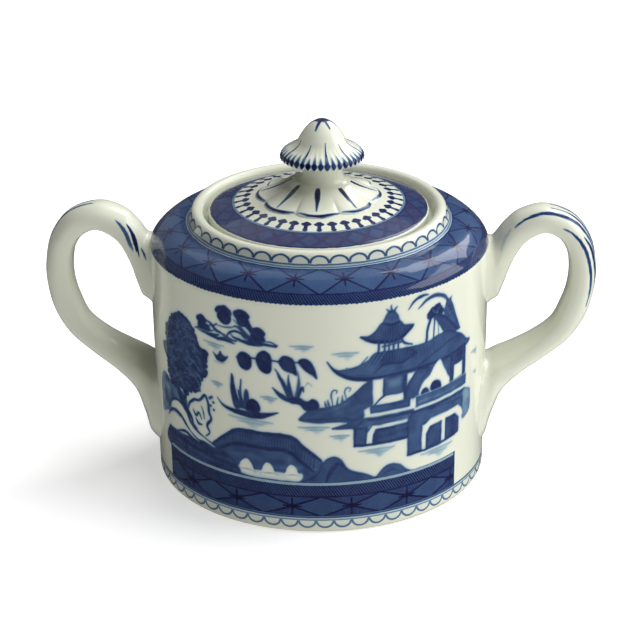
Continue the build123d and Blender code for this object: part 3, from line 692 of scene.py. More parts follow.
class Lathe:
    """Rings of points round Z, joined in order.

    A ring may have a whole number of times more or fewer points than the one before, or just one.
    Faces point outward when the rings run from the bottom up on the outside."""

    def __init__(self):
        self.verts, self.faces, self.rings = [], [], []

    def ring(self, points):
        start = sum(len(v) for v in self.verts)
        self.verts.append(np.asarray(points, float))
        if self.rings:
            was, had = self.rings[-1]
            n = len(points)
            if had == n:
                self.faces += ring_faces(was, start, n)
            elif had == 1:
                self.faces += [(was, start + (i + 1) % n, start + i) for i in range(n)]
            elif n == 1:
                self.faces += [(was + i, was + (i + 1) % had, start) for i in range(had)]
            elif n > had:
                k = n // had
                for i in range(had):
                    fine = [start + (i * k + j) % n for j in range(k + 1)]
                    self.faces.append(tuple([was + i, was + (i + 1) % had] + fine[::-1]))
            else:
                k = had // n
                for i in range(n):
                    fine = [was + (i * k + j) % had for j in range(k + 1)]
                    self.faces.append(tuple(fine + [start + (i + 1) % n, start + i]))
        self.rings.append((start, len(points)))

    def points(self):
        return np.vstack(self.verts)


def turned(r, z, angles):
    """A ring of points; r and z are one number or one for each angle."""
    return np.stack([r * np.cos(angles), r * np.sin(angles), np.broadcast_to(z, len(angles))], 1)


def evenly(count):
    """That many angles right round, starting at the front."""
    return -math.pi / 2 + np.linspace(0, 2 * math.pi, count, endpoint=False)


# ---- the bowl -------------------------------------------------------------------------
def straight_wall(z):
    """The radius of the straight wall at a height."""
    return WALL_LOW_R + WALL_TAPER * (z - CURL_Z) / (SHOULDER_Z - CURL_Z)


def bowl_outside():
    """From the standing ring up the wall, over the shoulder and collar to the lip's crest."""
    foot = bend([(FOOT_R - 0.3, 0.0), (FOOT_R + 0.9, 0.8), (WALL_LOW_R, CURL_Z)],
                (1, 0.1), (0.02, 1), 5)
    shoulder = bend([(WALL_R, SHOULDER_Z), (46.5, 76.0), SHOULDER_TOP], (0, 1), (-1, 0.02), 15)
    cove = bend([SHOULDER_TOP, (38.65, 78.75), COLLAR_FOOT], (-1, 0.02), (-0.2, 1), 5)
    lip = arc((LIP_MID_R, LIP_MID_Z), LIP_ROUND, 0, 90, 10)
    return joined(foot, shoulder, cove, [(LIP_OUT_R, LIP_MID_Z)], lip)


def above_wall(outline):
    """The part of the outside from the shoulder up."""
    return outline[outline[:, 1] >= SHOULDER_Z - 0.01]


def bowl_inside():
    """From the lip's crest over the ledge and down inside to the middle of the floor."""
    lip = arc((LIP_MID_R, LIP_MID_Z), LIP_ROUND, 90, 180, 9)
    ledge = rounded([(LIP_IN_R, LIP_MID_Z), (SEAT_R, SEAT_Z), (MOUTH_R, SEAT_Z), (MOUTH_R, THROAT_Z),
                     (32.0, 75.1)], [0, 0.5, 0.7, 0.7, 0])
    inner = bend([(32.0, 75.1), (44.0, 73.4), (46.7, 69.0)], (1, -0.02), (0, -1), 12)
    fillet_z = FLOOR_Z + FLOOR_FILLET
    corner = arc((INNER_LOW_R - FLOOR_FILLET, fillet_z), FLOOR_FILLET, 0, -90, 9)
    flat = [(r, FLOOR_Z) for r in (36, 30, 22, 14, 6)]
    return joined(lip, ledge, inner, [(INNER_LOW_R, fillet_z)], corner, flat)


def bowl_angles():
    """Angles of the bowl's points, and how many of them each painted side and each half turn has."""
    left, right = SECTOR_LEFT / ARC_R, SECTOR_RIGHT / ARC_R
    pitch = PAINT_PITCH / ARC_R
    painted = np.linspace(left, right, 4 * round((right - left) / pitch / 4) + 1)
    gap = math.pi - (right - left)
    plain = np.linspace(right, left + math.pi, 4 * round(gap * ARC_R / PLAIN_PITCH / 4) + 1)[1:-1]
    half = np.concatenate([painted, plain])
    filler = np.linspace(half[-1], left + math.pi, 2 + (-len(half)) % 4)[1:-1]
    half = np.concatenate([half, filler])       # now a multiple of 4, for the coarse rings
    return FACING + np.concatenate([half, half + math.pi]), painted, len(half)


def bowl_rows():
    """The bowl's rings from the base out, up and in again, as (r, z, is dense); and the lip's row."""
    outside = bowl_outside()
    knee = np.argmax(outside[:, 1] >= CURL_Z - 0.01)
    under = rounded([(40.0, RECESS_Z), (43.65, RECESS_Z), (44.45, 0.0), (FOOT_R - 0.3, 0.0)],
                    [0, 0.7, 0.5, 0])
    rows = [(r, z, False) for r, z in [(20.0, RECESS_Z), (32.0, RECESS_Z)] + list(under[:-1])]
    rows += [(r, z, True) for r, z in outside[: knee + 1]]
    heights = [*np.arange(4.0, SCENE_LOW - 0.9, 1.9),
               *np.arange(SCENE_LOW - 0.6, SCENE_HIGH - 1.0, PAINT_PITCH)]
    rows += [(straight_wall(z), z, True) for z in heights]
    rows += [(r, z, True) for r, z in above_wall(outside)]
    lip_row = len(rows)
    rows += [(r, z, False) for r, z in bowl_inside()[1:]]
    return rows, lip_row


def build_bowl():
    """The whole bowl in one closed mesh, and where the shoulder's bands begin and end along it."""
    dense, painted, half = bowl_angles()
    coarse = dense[::4]
    rows, lip_row = bowl_rows()
    line = np.array([(r, z) for r, z, _ in rows])
    length = arc_length(line)
    wall = np.argmax(line[:, 1] > 3)            # from this row to the lip, heights only grow
    length = length - np.interp(BAND_LOW, line[wall:lip_row, 1], length[wall:lip_row])

    u = (painted * ARC_R)[None, :]
    dense_z = np.array([z for _, z, is_dense in rows if is_dense])
    scene = paint_river_scene(np.repeat(u, len(dense_z), 0),
                              np.repeat(dense_z[:, None], len(painted), 1))

    lathe = Lathe()
    lathe.ring([(0, 0, RECESS_Z)])
    fields = {"cobalt": [[0.0]], "along": [[length[0]]], "shown": [[0.0]]}
    painted_rows = iter(scene)
    for (r, z, is_dense), along in zip(rows, length):
        angles = dense if is_dense else coarse
        lathe.ring(turned(r, z, angles))
        ink = np.zeros(len(angles))
        if is_dense:                            # the scene is on both sides, half a turn apart
            ink[:len(painted)] = ink[half: half + len(painted)] = next(painted_rows)
        fields["cobalt"].append(ink)
        fields["along"].append(np.full(len(angles), along))
        fields["shown"].append(np.full(len(angles), float(is_dense)))
    lathe.ring([(0, 0, FLOOR_Z)])
    for key, end in (("cobalt", 0.0), ("along", length[-1]), ("shown", 0.0)):
        fields[key].append([end])

    over = line[:lip_row, 1] > SHOULDER_Z
    r, z, along = line[:lip_row][over, 0], line[:lip_row][over, 1], length[:lip_row][over]
    marks = {"hatch_top": float(np.interp(HATCH_TOP, z, along)),
             "band_in": float(np.interp(-BAND_IN_R, -r, along))}
    fields = {key: np.concatenate(values) for key, values in fields.items()}
    return make_piece("bowl_porcelain", lathe.points(), lathe.faces, fields), marks


# ---- the handles ------------------------------------------------------------------------
# Sections from the upper root round to the lower root, as in the CAD part:
# outer x, z, inner x, z, breadth.
STRAP = [
    (45.0, 70.0, 45.0, 53.0, 15.0), (49.4, 71.8, 51.7, 54.0, 14.5), (51.5, 74.2, 53.7, 57.4, 13.5),
    (54.0, 77.6, 56.3, 65.2, 12.5), (58.2, 81.2, 59.9, 71.6, 12.0), (65.4, 83.1, 65.4, 75.0, 12.0),
    (74.0, 80.2, 69.8, 73.4, 12.0), (79.4, 73.2, 72.4, 69.3, 12.0), (81.3, 64.2, 73.3, 63.6, 12.0),
    (80.9, 56.4, 72.9, 57.8, 12.0), (78.9, 48.8, 71.2, 52.0, 12.0), (74.4, 41.6, 68.4, 46.0, 13.0),
    (67.2, 35.6, 62.8, 40.9, 15.0), (60.2, 30.6, 57.3, 37.2, 18.5), (54.9, 25.0, 53.0, 34.8, 22.0),
    (51.9, 16.8, 50.4, 33.5, 25.0), (49.9, 10.2, 48.0, 32.9, 27.0), (45.0, 8.6, 45.0, 32.7, 27.5),
]
TILT = {"left": 1.2, "right": -1.2}      # degrees up
TILT_AT = 50.0                   # x and z of the point that a handle is turned about
AROUND = 88                      # points round a section
BETWEEN = 18                     # steps from one section to the next
MM_PER_DEGREE = 0.09             # how wide a degree round the strap counts for a brush stroke
ROOT_DEPTH = 0.7                 # how far the handle goes in under the wall's skin

# Brush strokes on the side that faces the viewer: (section, degrees round from the outer edge)
# points, widths in mm, tone.
STROKES = {
    "right": [
        ([(3.6, -56), (4.4, -50), (5.3, -42), (6.3, -34), (7.4, -23)], [0.3, 1.0, 1.2, 1.1, 0.4], 0.80),
        ([(5.2, -16), (6.2, -14), (7.2, -13), (8.4, -15), (9.2, -14)], [0.2, 0.8, 1.0, 0.9, 0.3], 0.88),
        ([(5.8, -86), (6.7, -74), (7.7, -62), (8.7, -54), (9.5, -54)], [0.3, 1.1, 1.3, 1.0, 0.3], 0.80),
        ([(6.7, -50), (7.3, -38), (8.1, -28), (8.9, -22)], [0.3, 1.3, 1.2, 0.4], 1.0),
        ([(14.6, -18), (15.4, -20), (16.2, -22)], [0.3, 1.1, 0.6], 0.72),
        ([(2.3, -66), (2.8, -56), (3.3, -50)], [0.8, 1.5, 0.8], 0.17),
    ],
    "left": [
        ([(4.2, -64), (3.8, -74), (3.3, -86), (2.9, -92)], [0.4, 1.4, 1.5, 0.4], 0.62),
        ([(3.6, -54), (3.2, -60), (2.7, -70), (2.3, -80)], [0.4, 1.3, 1.5, 0.4], 0.95),
        ([(3.2, -66), (2.9, -74), (2.6, -82)], [0.3, 0.9, 0.4], 0.92),
        ([(2.2, -60), (1.8, -62), (1.4, -64)], [0.3, 0.6, 0.3], 0.80),
        ([(5.2, -8), (6.4, -5), (7.6, -10), (8.8, -8), (9.6, -12)], [0.3, 0.9, 1.2, 1.5, 0.4], 0.80),
        ([(8.6, -8), (9.6, -16), (10.6, -20), (11.6, -18)], [0.2, 0.9, 0.9, 0.3], 0.76),
        ([(10.8, -12), (12.0, -18), (13.2, -18), (14.2, -14)], [0.2, 1.0, 0.9, 0.3], 0.80),
    ],
}


def wall_radius(z):
    """The radius of the wall or the shoulder at a height."""
    over = above_wall(bowl_outside())
    return np.where(z < SHOULDER_Z, straight_wall(z), np.interp(z, over[:, 1], over[:, 0]))


def build_handle(side):
    """One handle. It is built for the right side and turned over for the left."""
    sections = flowing(STRAP, False, BETWEEN)
    count = len(sections)
    outer, inner = sections[:, 0:2], sections[:, 2:4]
    breadth = sections[:, 4]
    middle, reach = (outer + inner) / 2, (outer - inner) / 2
    phi = np.linspace(0, 2 * math.pi, AROUND, endpoint=False)
    c, s = np.cos(phi), np.sin(phi)
    power = np.where(c > 0, 2.12, 2.6)
    x = np.sign(c) * np.abs(c) ** (2 / power)
    y = np.sign(s) * np.abs(s) ** (2 / power)
    from_crease = np.abs(np.degrees(np.arccos(c)) - 128)
    ridge = 1 + 0.035 * np.exp(-((from_crease / 13) ** 2))
    x, y = x * ridge, y * ridge
    px = middle[:, :1] + reach[:, :1] * x[None, :]
    pz = middle[:, 1:2] + reach[:, 1:2] * x[None, :]
    py = (breadth / 2)[:, None] * y[None, :]
    # a slight hand-made unevenness along the strap
    section = np.arange(count) / BETWEEN
    seed = 40 if side == "left" else 41
    rough = grain(section[:, None] * 2.2 + 0 * px, phi[None, :] * 2.0 + 0 * px, 1.6, seed)
    uneven = 0.16 * (rough - 0.5)
    py = py * (1 + uneven / 6)
    turn = math.radians(-TILT[side])
    dx, dz = px - TILT_AT, pz - TILT_AT
    px = TILT_AT + dx * math.cos(turn) + dz * math.sin(turn)
    pz = TILT_AT - dx * math.sin(turn) + dz * math.cos(turn)
    # the clay is smoothed on to the wall, and the root stops just under the wall's skin
    mx, mz = px.mean(1, keepdims=True), pz.mean(1, keepdims=True)
    for _ in range(2):
        r = np.hypot(px, py)
        depth = r - wall_radius(pz)
        flare = 0.55 * np.clip(1 - depth / 2.4, 0, 1) ** 2
        rx, ry = px / r, py / r
        ox, oy, oz = px - mx, py, pz - mz
        radial = ox * rx + oy * ry
        ox, oy = ox - radial * rx, oy - radial * ry
        size = np.sqrt(ox * ox + oy * oy + oz * oz) + 1e-6
        px, py, pz = px + flare * ox / size, py + flare * oy / size, pz + flare * oz / size
    r = np.hypot(px, py)
    deepest = wall_radius(pz) - ROOT_DEPTH
    push = np.where(r < deepest, deepest / r, 1.0)
    px, py = px * push, py * push
    # the painted strokes
    length = arc_length(middle)
    along = np.repeat(length[:, None], AROUND, 1)
    degrees = np.degrees(np.where(phi > math.pi, phi - 2 * math.pi, phi))
    around = np.repeat((degrees * MM_PER_DEGREE)[None, :], count, 0)
    paint = Paint(along, around, 0.08, 5)
    other = "left" if side == "right" else "right"
    for name, sign in ((side, 1), (other, -1)):      # the far side repeats the other handle's strokes
        for points, widths, tone in STROKES[name]:
            line = [(np.interp(k, section, length), sign * a * MM_PER_DEGREE) for k, a in points]
            paint.stroke(line, widths, tone, 0.2)
    if side == "left":
        px = -px
    verts = np.stack([px, py, pz], 2).reshape(-1, 3)
    faces = []
    for i in range(count - 1):
        faces += ring_faces(i * AROUND, (i + 1) * AROUND, AROUND)
    first, last = list(range(AROUND)), list(range((count - 1) * AROUND, count * AROUND))
    faces += [tuple(first[::-1]), tuple(last)]
    if side == "right":
        faces = [f[::-1] for f in faces]
    return make_piece("handle_" + side + "_porcelain", verts, faces, {"cobalt": paint.ink.ravel()})


# ---- the lid ----------------------------------------------------------------------------
LID_RIM = (31.5, 81.95)          # where the edge ends and the dome begins
LID_HOLLOW_Z = 83.6              # under the dome, in the middle
LID_TOP = bend([LID_RIM, (19.4, 85.2), (0.0, LID_CROWN)], (-1, 0.32), (-1, 0), 40)
LID_TOP_BY_R = LID_TOP[::-1]
LID_AROUND = 320
LOBES = 8
LOBE_CENTRE, LOBE_ARC = 10.1, 8.5   # each lobe is an arc of this radius about a point this far out
LOBE_POINTS = 44
ROSETTE_TOP_R = 6.2


def lid_height(r):
    """The height of the lid's dome at a radius."""
    return np.interp(r, LID_TOP_BY_R[:, 0], LID_TOP_BY_R[:, 1])


def build_lid_disc():
    """The disc with its hollow and its locating ring below, from the hollow out and over the top."""
    angles = np.linspace(0, 2 * math.pi, LID_AROUND, endpoint=False)
    under = [(8.0, 83.4), (14.0, 82.6), (20.0, 81.3), (26.2, 79.8), (26.6, 73.8), (28.2, 73.8),
             (28.8, 78.75), (31.8, 78.75), (32.3, 79.3), (32.3, 81.5), LID_RIM]
    line = rounded(under, [0, 0, 3, 1.2, 0.5, 0.5, 0.6, 0.4, 0.3, 0.7, 0], 6)
    top = thinned(LID_TOP, 0.55)
    line = joined(line, top[:-1])
    lathe = Lathe()
    lathe.ring([(0, 0, LID_HOLLOW_Z)])
    for r, z in line:
        lathe.ring(turned(r, z, angles))
    lathe.ring([(0, 0, LID_CROWN)])
    on_top = np.arange(len(line)) > len(under) + 16
    radius = np.concatenate([[0], np.repeat(line[:, 0], LID_AROUND), [0]])
    shown = np.concatenate([[0], np.repeat(on_top.astype(float), LID_AROUND), [1]])
    return make_piece("lid_disc_porcelain", lathe.points(), lathe.faces,
                      {"radius": radius, "shown": shown})


def lobe_edge(angle):
    """How far a lobe reaches at an angle from its middle."""
    return LOBE_CENTRE * np.cos(angle) + np.sqrt(LOBE_ARC**2 - (LOBE_CENTRE * np.sin(angle)) ** 2)


def build_rosette():
    """The lobed rosette on the dome, with a bow along each lobe and a drop down its middle."""
    count = LOBES * LOBE_POINTS
    angles = evenly(count)
    # -0.5 to 0.5 across a lobe
    local = (np.arange(count) + LOBE_POINTS / 2) % LOBE_POINTS / LOBE_POINTS - 0.5
    rim = lobe_edge(local * 2 * math.pi / LOBES)
    rim = rim - 0.28 * np.exp(-(((0.5 - np.abs(local)) / 0.05) ** 2))
    share = np.concatenate([np.linspace(0, 0.9, 26),
                            0.9 + 0.1 * np.sin(np.linspace(0, math.pi / 2, 9))[1:]])
    lathe = Lathe()
    lathe.ring([(0, 0, ROSETTE_TOP - 0.2)])
    hollow = np.abs(2 * local) ** 4.5
    cone = bend([(ROSETTE_TOP_R, ROSETTE_TOP + 0.2), (8.6, 90.1), (10.6, 88.9), (13.0, 87.7), (16.0, 86.6),
                 (18.7, 86.0)], (1, -0.2), (1, -0.2), 8)
    for t in share:
        r = ROSETTE_TOP_R + (rim - ROSETTE_TOP_R) * t
        z = np.interp(r, cone[:, 0], cone[:, 1]) + 0.30 * math.sin(math.pi * min(t, 1))
        z = z - 0.62 * hollow * step(t, 0.40, 0.95)
        if t > 0.9:
            fall = 1 - math.sqrt(max(0.0, 1 - ((t - 0.9) / 0.1) ** 2))
            z = z - fall * (z - lid_height(r) + 0.05)
        z = np.maximum(z, lid_height(r) - 0.05)
        lathe.ring(turned(r, z, angles))
    under = rim - 1.5
    lathe.ring(turned(under, lid_height(under) - 0.6, angles))
    lathe.ring([(0, 0, 85.4)])
    verts = lathe.points()
    paint = Paint(verts[:, 0], verts[:, 1], 0.1, 8)
    rng = np.random.default_rng(31)
    for k in range(LOBES):
        mid = -math.pi / 2 + 2 * math.pi * k / LOBES
        out = np.array([math.cos(mid), math.sin(mid)])
        side = np.array([-math.sin(mid), math.cos(mid)])

        def at(r, angle):
            return r * (out * math.cos(angle) + side * math.sin(angle))

        skew = rng.uniform(-0.02, 0.02)
        bow = [at(lobe_edge(t) - 0.60, t + skew) for t in np.linspace(-0.34, 0.36, 9)]
        ends = (0.45, 1.0) if rng.uniform() < 0.5 else (1.0, 0.5)
        # the tone is drawn to keep the order of the random draws; fade sets what is seen
        tone = 0.84 + rng.uniform(-0.08, 0.06)
        paint.stroke(bow, [0.5, 0.66, 0.7, 0.66, 0.5], tone, 0.28,
                     fade=[ends[0], 0.9, 1.0, 0.95, ends[1]])
        lean = rng.uniform(-0.009, 0.009)
        # the drop at the front is a little shorter and fatter than the others
        radii = (8.4, 9.0, 10.0, 11.4, 13.2, 15.9) if k == 0 else (8.2, 9.0, 10.3, 12.2, 14.4, 17.0)
        widths = [1.2, 1.6, 1.4, 0.9, 0.65, 0.35] if k == 0 else [1.1, 1.5, 1.3, 0.9, 0.6, 0.3]
        paint.stroke([at(r, lean * (r - 8)) for r in radii], widths, 0.95, 0.24,
                     fade=[1.0, 1.0, 1.0, 0.9, 0.8, 0.7])
    faces = [face[::-1] for face in lathe.faces]        # its rings run from the top down
    return make_piece("lid_rosette_porcelain", verts, faces, {"cobalt": paint.ink})


KNOB_AROUND = 400
KNOB_PAINT_R = 12.0              # radius that the strokes on the knob are measured at
NECK_LOW_Z = 90.2
NECK_TOP, RIM_LOW, RIM_HIGH = (6.1, 96.4), (11.6, 97.35), (11.9, 98.95)


def build_knob():
    """The neck and the bell-shaped knob, with a drooping drop at each beat of its rim."""
    count = KNOB_AROUND
    angles = evenly(count)
    neck = bend([(8.3, NECK_LOW_Z), (6.7, 91.1), (5.95, 92.8), NECK_TOP], (-1, 0.25), (0.03, 1), 9)
    under = bend([NECK_TOP, (7.8, 97.7), RIM_LOW], (0.05, 1), (1, -0.1), 9)
    rim = bend([RIM_LOW, (12.2, 98.0), RIM_HIGH], (1, -0.1), (-0.45, 0.9), 7)
    flank = bend([RIM_HIGH, (10.7, 100.1), (8.7, 101.2), (7.4, 102.3), (6.4, 104.0), (4.9, 106.3),
                  (3.1, 108.0), (0.0, KNOB_TOP)], (-0.45, 0.9), (-1, 0), 14)
    line = joined(neck, under, rim, flank)
    rim_at = len(neck) + len(under) + len(rim) - 6      # a point on the rim, for measuring from
    length = arc_length(line)
    from_rim = length - length[rim_at]
    lathe = Lathe()
    lathe.ring([(0, 0, NECK_LOW_Z)])
    beat = np.cos((angles + math.pi / 2) * DROPS)
    for (r, z), s in zip(line[:-1], from_rim):
        swell = 0.13 * math.exp(-((s + 0.4) / 1.6) ** 2)
        flute = 0.10 * math.exp(-((s - 2.6) / 2.2) ** 2)
        rr = r + (swell + flute) * beat
        zz = z - 0.22 * math.exp(-((s + 0.5) / 1.0) ** 2) * beat
        lathe.ring(turned(rr, zz, angles))
    lathe.ring([(0, 0, KNOB_TOP)])
    verts = lathe.points()
    verts[:, 0] += KNOB_OFF
    u = np.concatenate([[0], np.tile((angles + math.pi / 2) * KNOB_PAINT_R, len(line) - 1), [0]])
    v = np.concatenate([[-20], np.repeat(from_rim[:-1], count), [99]])
    u = np.where(u > math.pi * KNOB_PAINT_R, u - 2 * math.pi * KNOB_PAINT_R, u)
    paint = Paint(u, v, 0.07, 9)
    rng = np.random.default_rng(77)
    pitch = 2 * math.pi * KNOB_PAINT_R / DROPS
    for k in range(DROPS):
        u0 = (k - DROPS // 2) * pitch
        lean = rng.uniform(-0.25, 0.25)
        tone = 0.88 + rng.uniform(-0.12, 0.1)
        wide = 1.5 + rng.uniform(-0.15, 0.2)
        tall = 3.3 + rng.uniform(-0.6, 0.7)
        if k % 4 == 1:                          # every fourth drop runs on up the flank
            reach = 7.4 + rng.uniform(-0.8, 0.8)
            paint.stroke([(u0 + 0.1 * lean, 1.2), (u0 + 0.4 * lean, 4.0), (u0 + lean, reach)],
                         [0.95, 0.6, 0.35], 0.50, 0.24, fade=[1.0, 0.9, 0.7])
        paint.stroke([(u0, 0.3), (u0 + 0.2 * lean, 1.6), (u0 + 0.4 * lean, tall)],
                     [0.72 * wide, 0.5 * wide, 0.25], 0.46, 0.3, fade=[0.9, 0.55, 0.3])
        paint.dab(u0, 0.05, wide + 0.15, 1.8 + rng.uniform(-0.2, 0.3), tone, soft=0.3)
    tip = Paint(verts[:, 0] - KNOB_OFF, verts[:, 1], 0.1, 10)
    for k, reach in enumerate((4.2, 3.9, 4.0, 3.5, 3.8, 3.6)):
        a = -math.pi / 2 + math.radians(-21 + 58 * k)
        tip.stroke([(1.0 * math.cos(a), 1.0 * math.sin(a)), (reach * math.cos(a), reach * math.sin(a))],
                   [1.05, 0.5], 0.80, 0.22, smooth=False, fade=[1.0, 0.8, 0.6])
    tip.dab(0, 0, 3.9, 3.5, 0.98, soft=0.35)
    tip.ink[verts[:, 2] < 102.0] = 0
    return make_piece("lid_knob_porcelain", verts, lathe.faces,
                      {"cobalt": np.maximum(paint.ink, tip.ink)})


# ---- materials ----------------------------------------------------------------------------
class Num:
    """A number in a shader tree; arithmetic on it adds Math nodes."""

    def __init__(self, tree, socket):
        self.tree, self.socket = tree, socket

    def math(self, op, *others):
        node = self.tree.nodes.new("ShaderNodeMath")
        node.operation = op
        for i, value in enumerate((self,) + others):
            if isinstance(value, Num):
                self.tree.links.new(value.socket, node.inputs[i])
            else:
                node.inputs[i].default_value = value
        return Num(self.tree, node.outputs[0])

    def __add__(self, other): return self.math("ADD", other)
    def __sub__(self, other): return self.math("SUBTRACT", other)
    def __mul__(self, other): return self.math("MULTIPLY", other)
    def __truediv__(self, other): return self.math("DIVIDE", other)
    def abs(self): return self.math("ABSOLUTE")
    def fract(self): return self.math("FRACT")
    def root(self): return self.math("SQRT")
    def sign(self): return self.math("SIGN")
    def max(self, other): return self.math("MAXIMUM", other)
    def min(self, other): return self.math("MINIMUM", other)
    def flip(self): return self.math("MULTIPLY_ADD", -1.0, 1.0)

    def ease(self, low, high):
        """0 below low, 1 above high, smooth between; low may be the larger."""
        node = self.tree.nodes.new("ShaderNodeMapRange")
        node.interpolation_type = "SMOOTHSTEP"
        self.tree.links.new(self.socket, node.inputs["Value"])
        node.inputs["From Min"].default_value = low
        node.inputs["From Max"].default_value = high
        return Num(self.tree, node.outputs[0])

    def over(self, cover, value):
        """This ink with another laid over it where cover is 1."""
        node = self.tree.nodes.new("ShaderNodeMix")
        self.tree.links.new(cover.socket, node.inputs[0])
        self.tree.links.new(self.socket, node.inputs[2])
        if isinstance(value, Num):
            self.tree.links.new(value.socket, node.inputs[3])
        else:
            node.inputs[3].default_value = value
        return Num(self.tree, node.outputs[0])


class Finish:
    """A glazed porcelain material while it is being put together."""

    def __init__(self, name):
        self.material = bpy.data.materials.new(name)
        self.material.use_nodes = True
        self.tree = self.material.node_tree
        self.tree.nodes.clear()
        self.coords = self.tree.nodes.new("ShaderNodeTexCoord").outputs["Object"]

    def number(self, socket):
        return Num(self.tree, socket)

    def field(self, name):
        node = self.tree.nodes.new("ShaderNodeAttribute")
        node.attribute_name = name
        return self.number(node.outputs["Fac"])

    def noise(self, scale, detail=2.0, rough=0.5, stretch=None, colour=False):
        vector = self.coords
        if stretch:
            place = self.tree.nodes.new("ShaderNodeMapping")
            place.inputs["Scale"].default_value = stretch
            self.tree.links.new(vector, place.inputs["Vector"])
            vector = place.outputs[0]
        node = self.tree.nodes.new("ShaderNodeTexNoise")
        node.inputs["Scale"].default_value = scale
        node.inputs["Detail"].default_value = detail
        node.inputs["Roughness"].default_value = rough
        self.tree.links.new(vector, node.inputs["Vector"])
        return node.outputs["Color"] if colour else self.number(node.outputs["Fac"])

    def shaky(self, amount_mm):
        """Object coordinates in mm, shaken a little so that drawn lines look hand-laid."""
        node = self.tree.nodes.new("ShaderNodeVectorMath")
        node.operation = "MULTIPLY_ADD"
        self.tree.links.new(self.noise(900.0, 1.0, colour=True), node.inputs[0])
        node.inputs[1].default_value = (amount_mm * 2,) * 3
        scaled = self.tree.nodes.new("ShaderNodeVectorMath")
        scaled.operation = "MULTIPLY_ADD"
        self.tree.links.new(self.coords, scaled.inputs[0])
        scaled.inputs[1].default_value = (1000.0,) * 3
        scaled.inputs[2].default_value = (-amount_mm,) * 3
        self.tree.links.new(scaled.outputs[0], node.inputs[2])
        split = self.tree.nodes.new("ShaderNodeSeparateXYZ")
        self.tree.links.new(node.outputs[0], split.inputs[0])
        return [self.number(s) for s in split.outputs]

    def colour(self, ink, stops):
        ramp = self.tree.nodes.new("ShaderNodeValToRGB")
        ramp.color_ramp.interpolation = "LINEAR"
        points = ramp.color_ramp.elements
        while len(points) < len(stops):
            points.new(0.5)
        for point, (at, rgb) in zip(points, stops):
            point.position = at
            point.color = tuple(srgb(c) for c in rgb) + (1.0,)
        self.tree.links.new(ink.socket, ramp.inputs[0])
        return ramp.outputs[0]

    def blend(self, factor, a, b, mode="MIX"):
        node = self.tree.nodes.new("ShaderNodeMix")
        node.data_type = "RGBA"
        node.blend_type = mode
        for value, socket in ((factor, node.inputs[0]), (a, node.inputs[6]), (b, node.inputs[7])):
            if isinstance(value, Num):
                self.tree.links.new(value.socket, socket)
            elif isinstance(value, bpy.types.NodeSocket):
                self.tree.links.new(value, socket)
            else:
                socket.default_value = value
        return node.outputs[2]


def srgb(value):
    """An sRGB level from 0 to 255 as the linear value that Blender uses."""
    c = value / 255.0
    return c / 12.92 if c <= 0.04045 else ((c + 0.055) / 1.055) ** 2.4


# How the glaze looks in sRGB over more and more cobalt, from none to the thickest.
COBALT = [
    (0.00, (208, 210, 194)),
    (0.10, (192, 199, 194)),
    (0.26, (141, 164, 174)),
    (0.42, (95, 123, 149)),
    (0.60, (58, 82, 119)),
    (0.76, (38, 54, 94)),
    (0.90, (21, 29, 72)),
    (1.00, (8, 12, 50)),
]


def glaze(finish, ink, violet_from=0.62, violet_share=0.25, wave=None):
    """The finished glaze: white body, cobalt under it, a clear coat with its small unevenness."""
    tree = finish.tree
    speckle = finish.noise(1500.0, 2.0, 0.5)
    cloud = finish.noise(190.0, 2.0, 0.5)
    ink = ink * ((speckle - 0.5) * 0.10 + (cloud - 0.5) * 0.16 + 1.0)
    ink = ink.max(0.0).min(1.0)
    body = finish.colour(ink, COBALT)
    # cobalt turns a little violet where it lies thick
    violet = (ink.ease(violet_from, 0.95) * finish.noise(120.0, 2.0, 0.6).ease(0.35, 0.66)) * violet_share
    body = finish.blend(violet, body, (srgb(52), srgb(42), srgb(80), 1.0))
    # the white body is faintly uneven, greener where the glaze is thick, with a few iron specks
    tint = finish.noise(42.0, 3.0, 0.55).ease(0.35, 0.7) * 0.5
    body = finish.blend(tint, body, (0.955, 0.972, 0.945, 1.0), "MULTIPLY")
    specks = finish.noise(1500.0, 1.0, 0.3).ease(0.80, 0.86) * 0.35
    body = finish.blend(specks, body, (0.45, 0.40, 0.32, 1.0), "MULTIPLY")
    shader = tree.nodes.new("ShaderNodeBsdfPrincipled")
    tree.links.new(body, shader.inputs["Base Color"])
    rough = finish.noise(310.0, 3.0, 0.6) * 0.10 + 0.17 + ink * 0.06
    tree.links.new(rough.socket, shader.inputs["Roughness"])
    shader.inputs["Specular IOR Level"].default_value = 0.12
    shader.inputs["Coat Weight"].default_value = 0.7
    shader.inputs["Coat Roughness"].default_value = 0.03
    shader.inputs["Coat IOR"].default_value = 1.45
    # long soft waves in the glaze, orange peel, and the faint edge of the cobalt
    height = finish.noise(26.0, 2.0, 0.45) * 0.45 + finish.noise(85.0, 2.0, 0.5) * 0.16
    height = height + finish.noise(190.0, 2.0, 0.5) * 0.035 + finish.noise(1400.0, 2.0, 0.5) * 0.0022
    height = height + ink * 0.006
    if wave:
        height = height + wave
    bump = tree.nodes.new("ShaderNodeBump")
    bump.inputs["Strength"].default_value = 0.5
    bump.inputs["Distance"].default_value = MM
    tree.links.new(height.socket, bump.inputs["Height"])
    tree.links.new(bump.outputs[0], shader.inputs["Normal"])
    tree.links.new(bump.outputs[0], shader.inputs["Coat Normal"])
    out = tree.nodes.new("ShaderNodeOutputMaterial")
    tree.links.new(shader.outputs[0], out.inputs["Surface"])
    return shader, body, rough


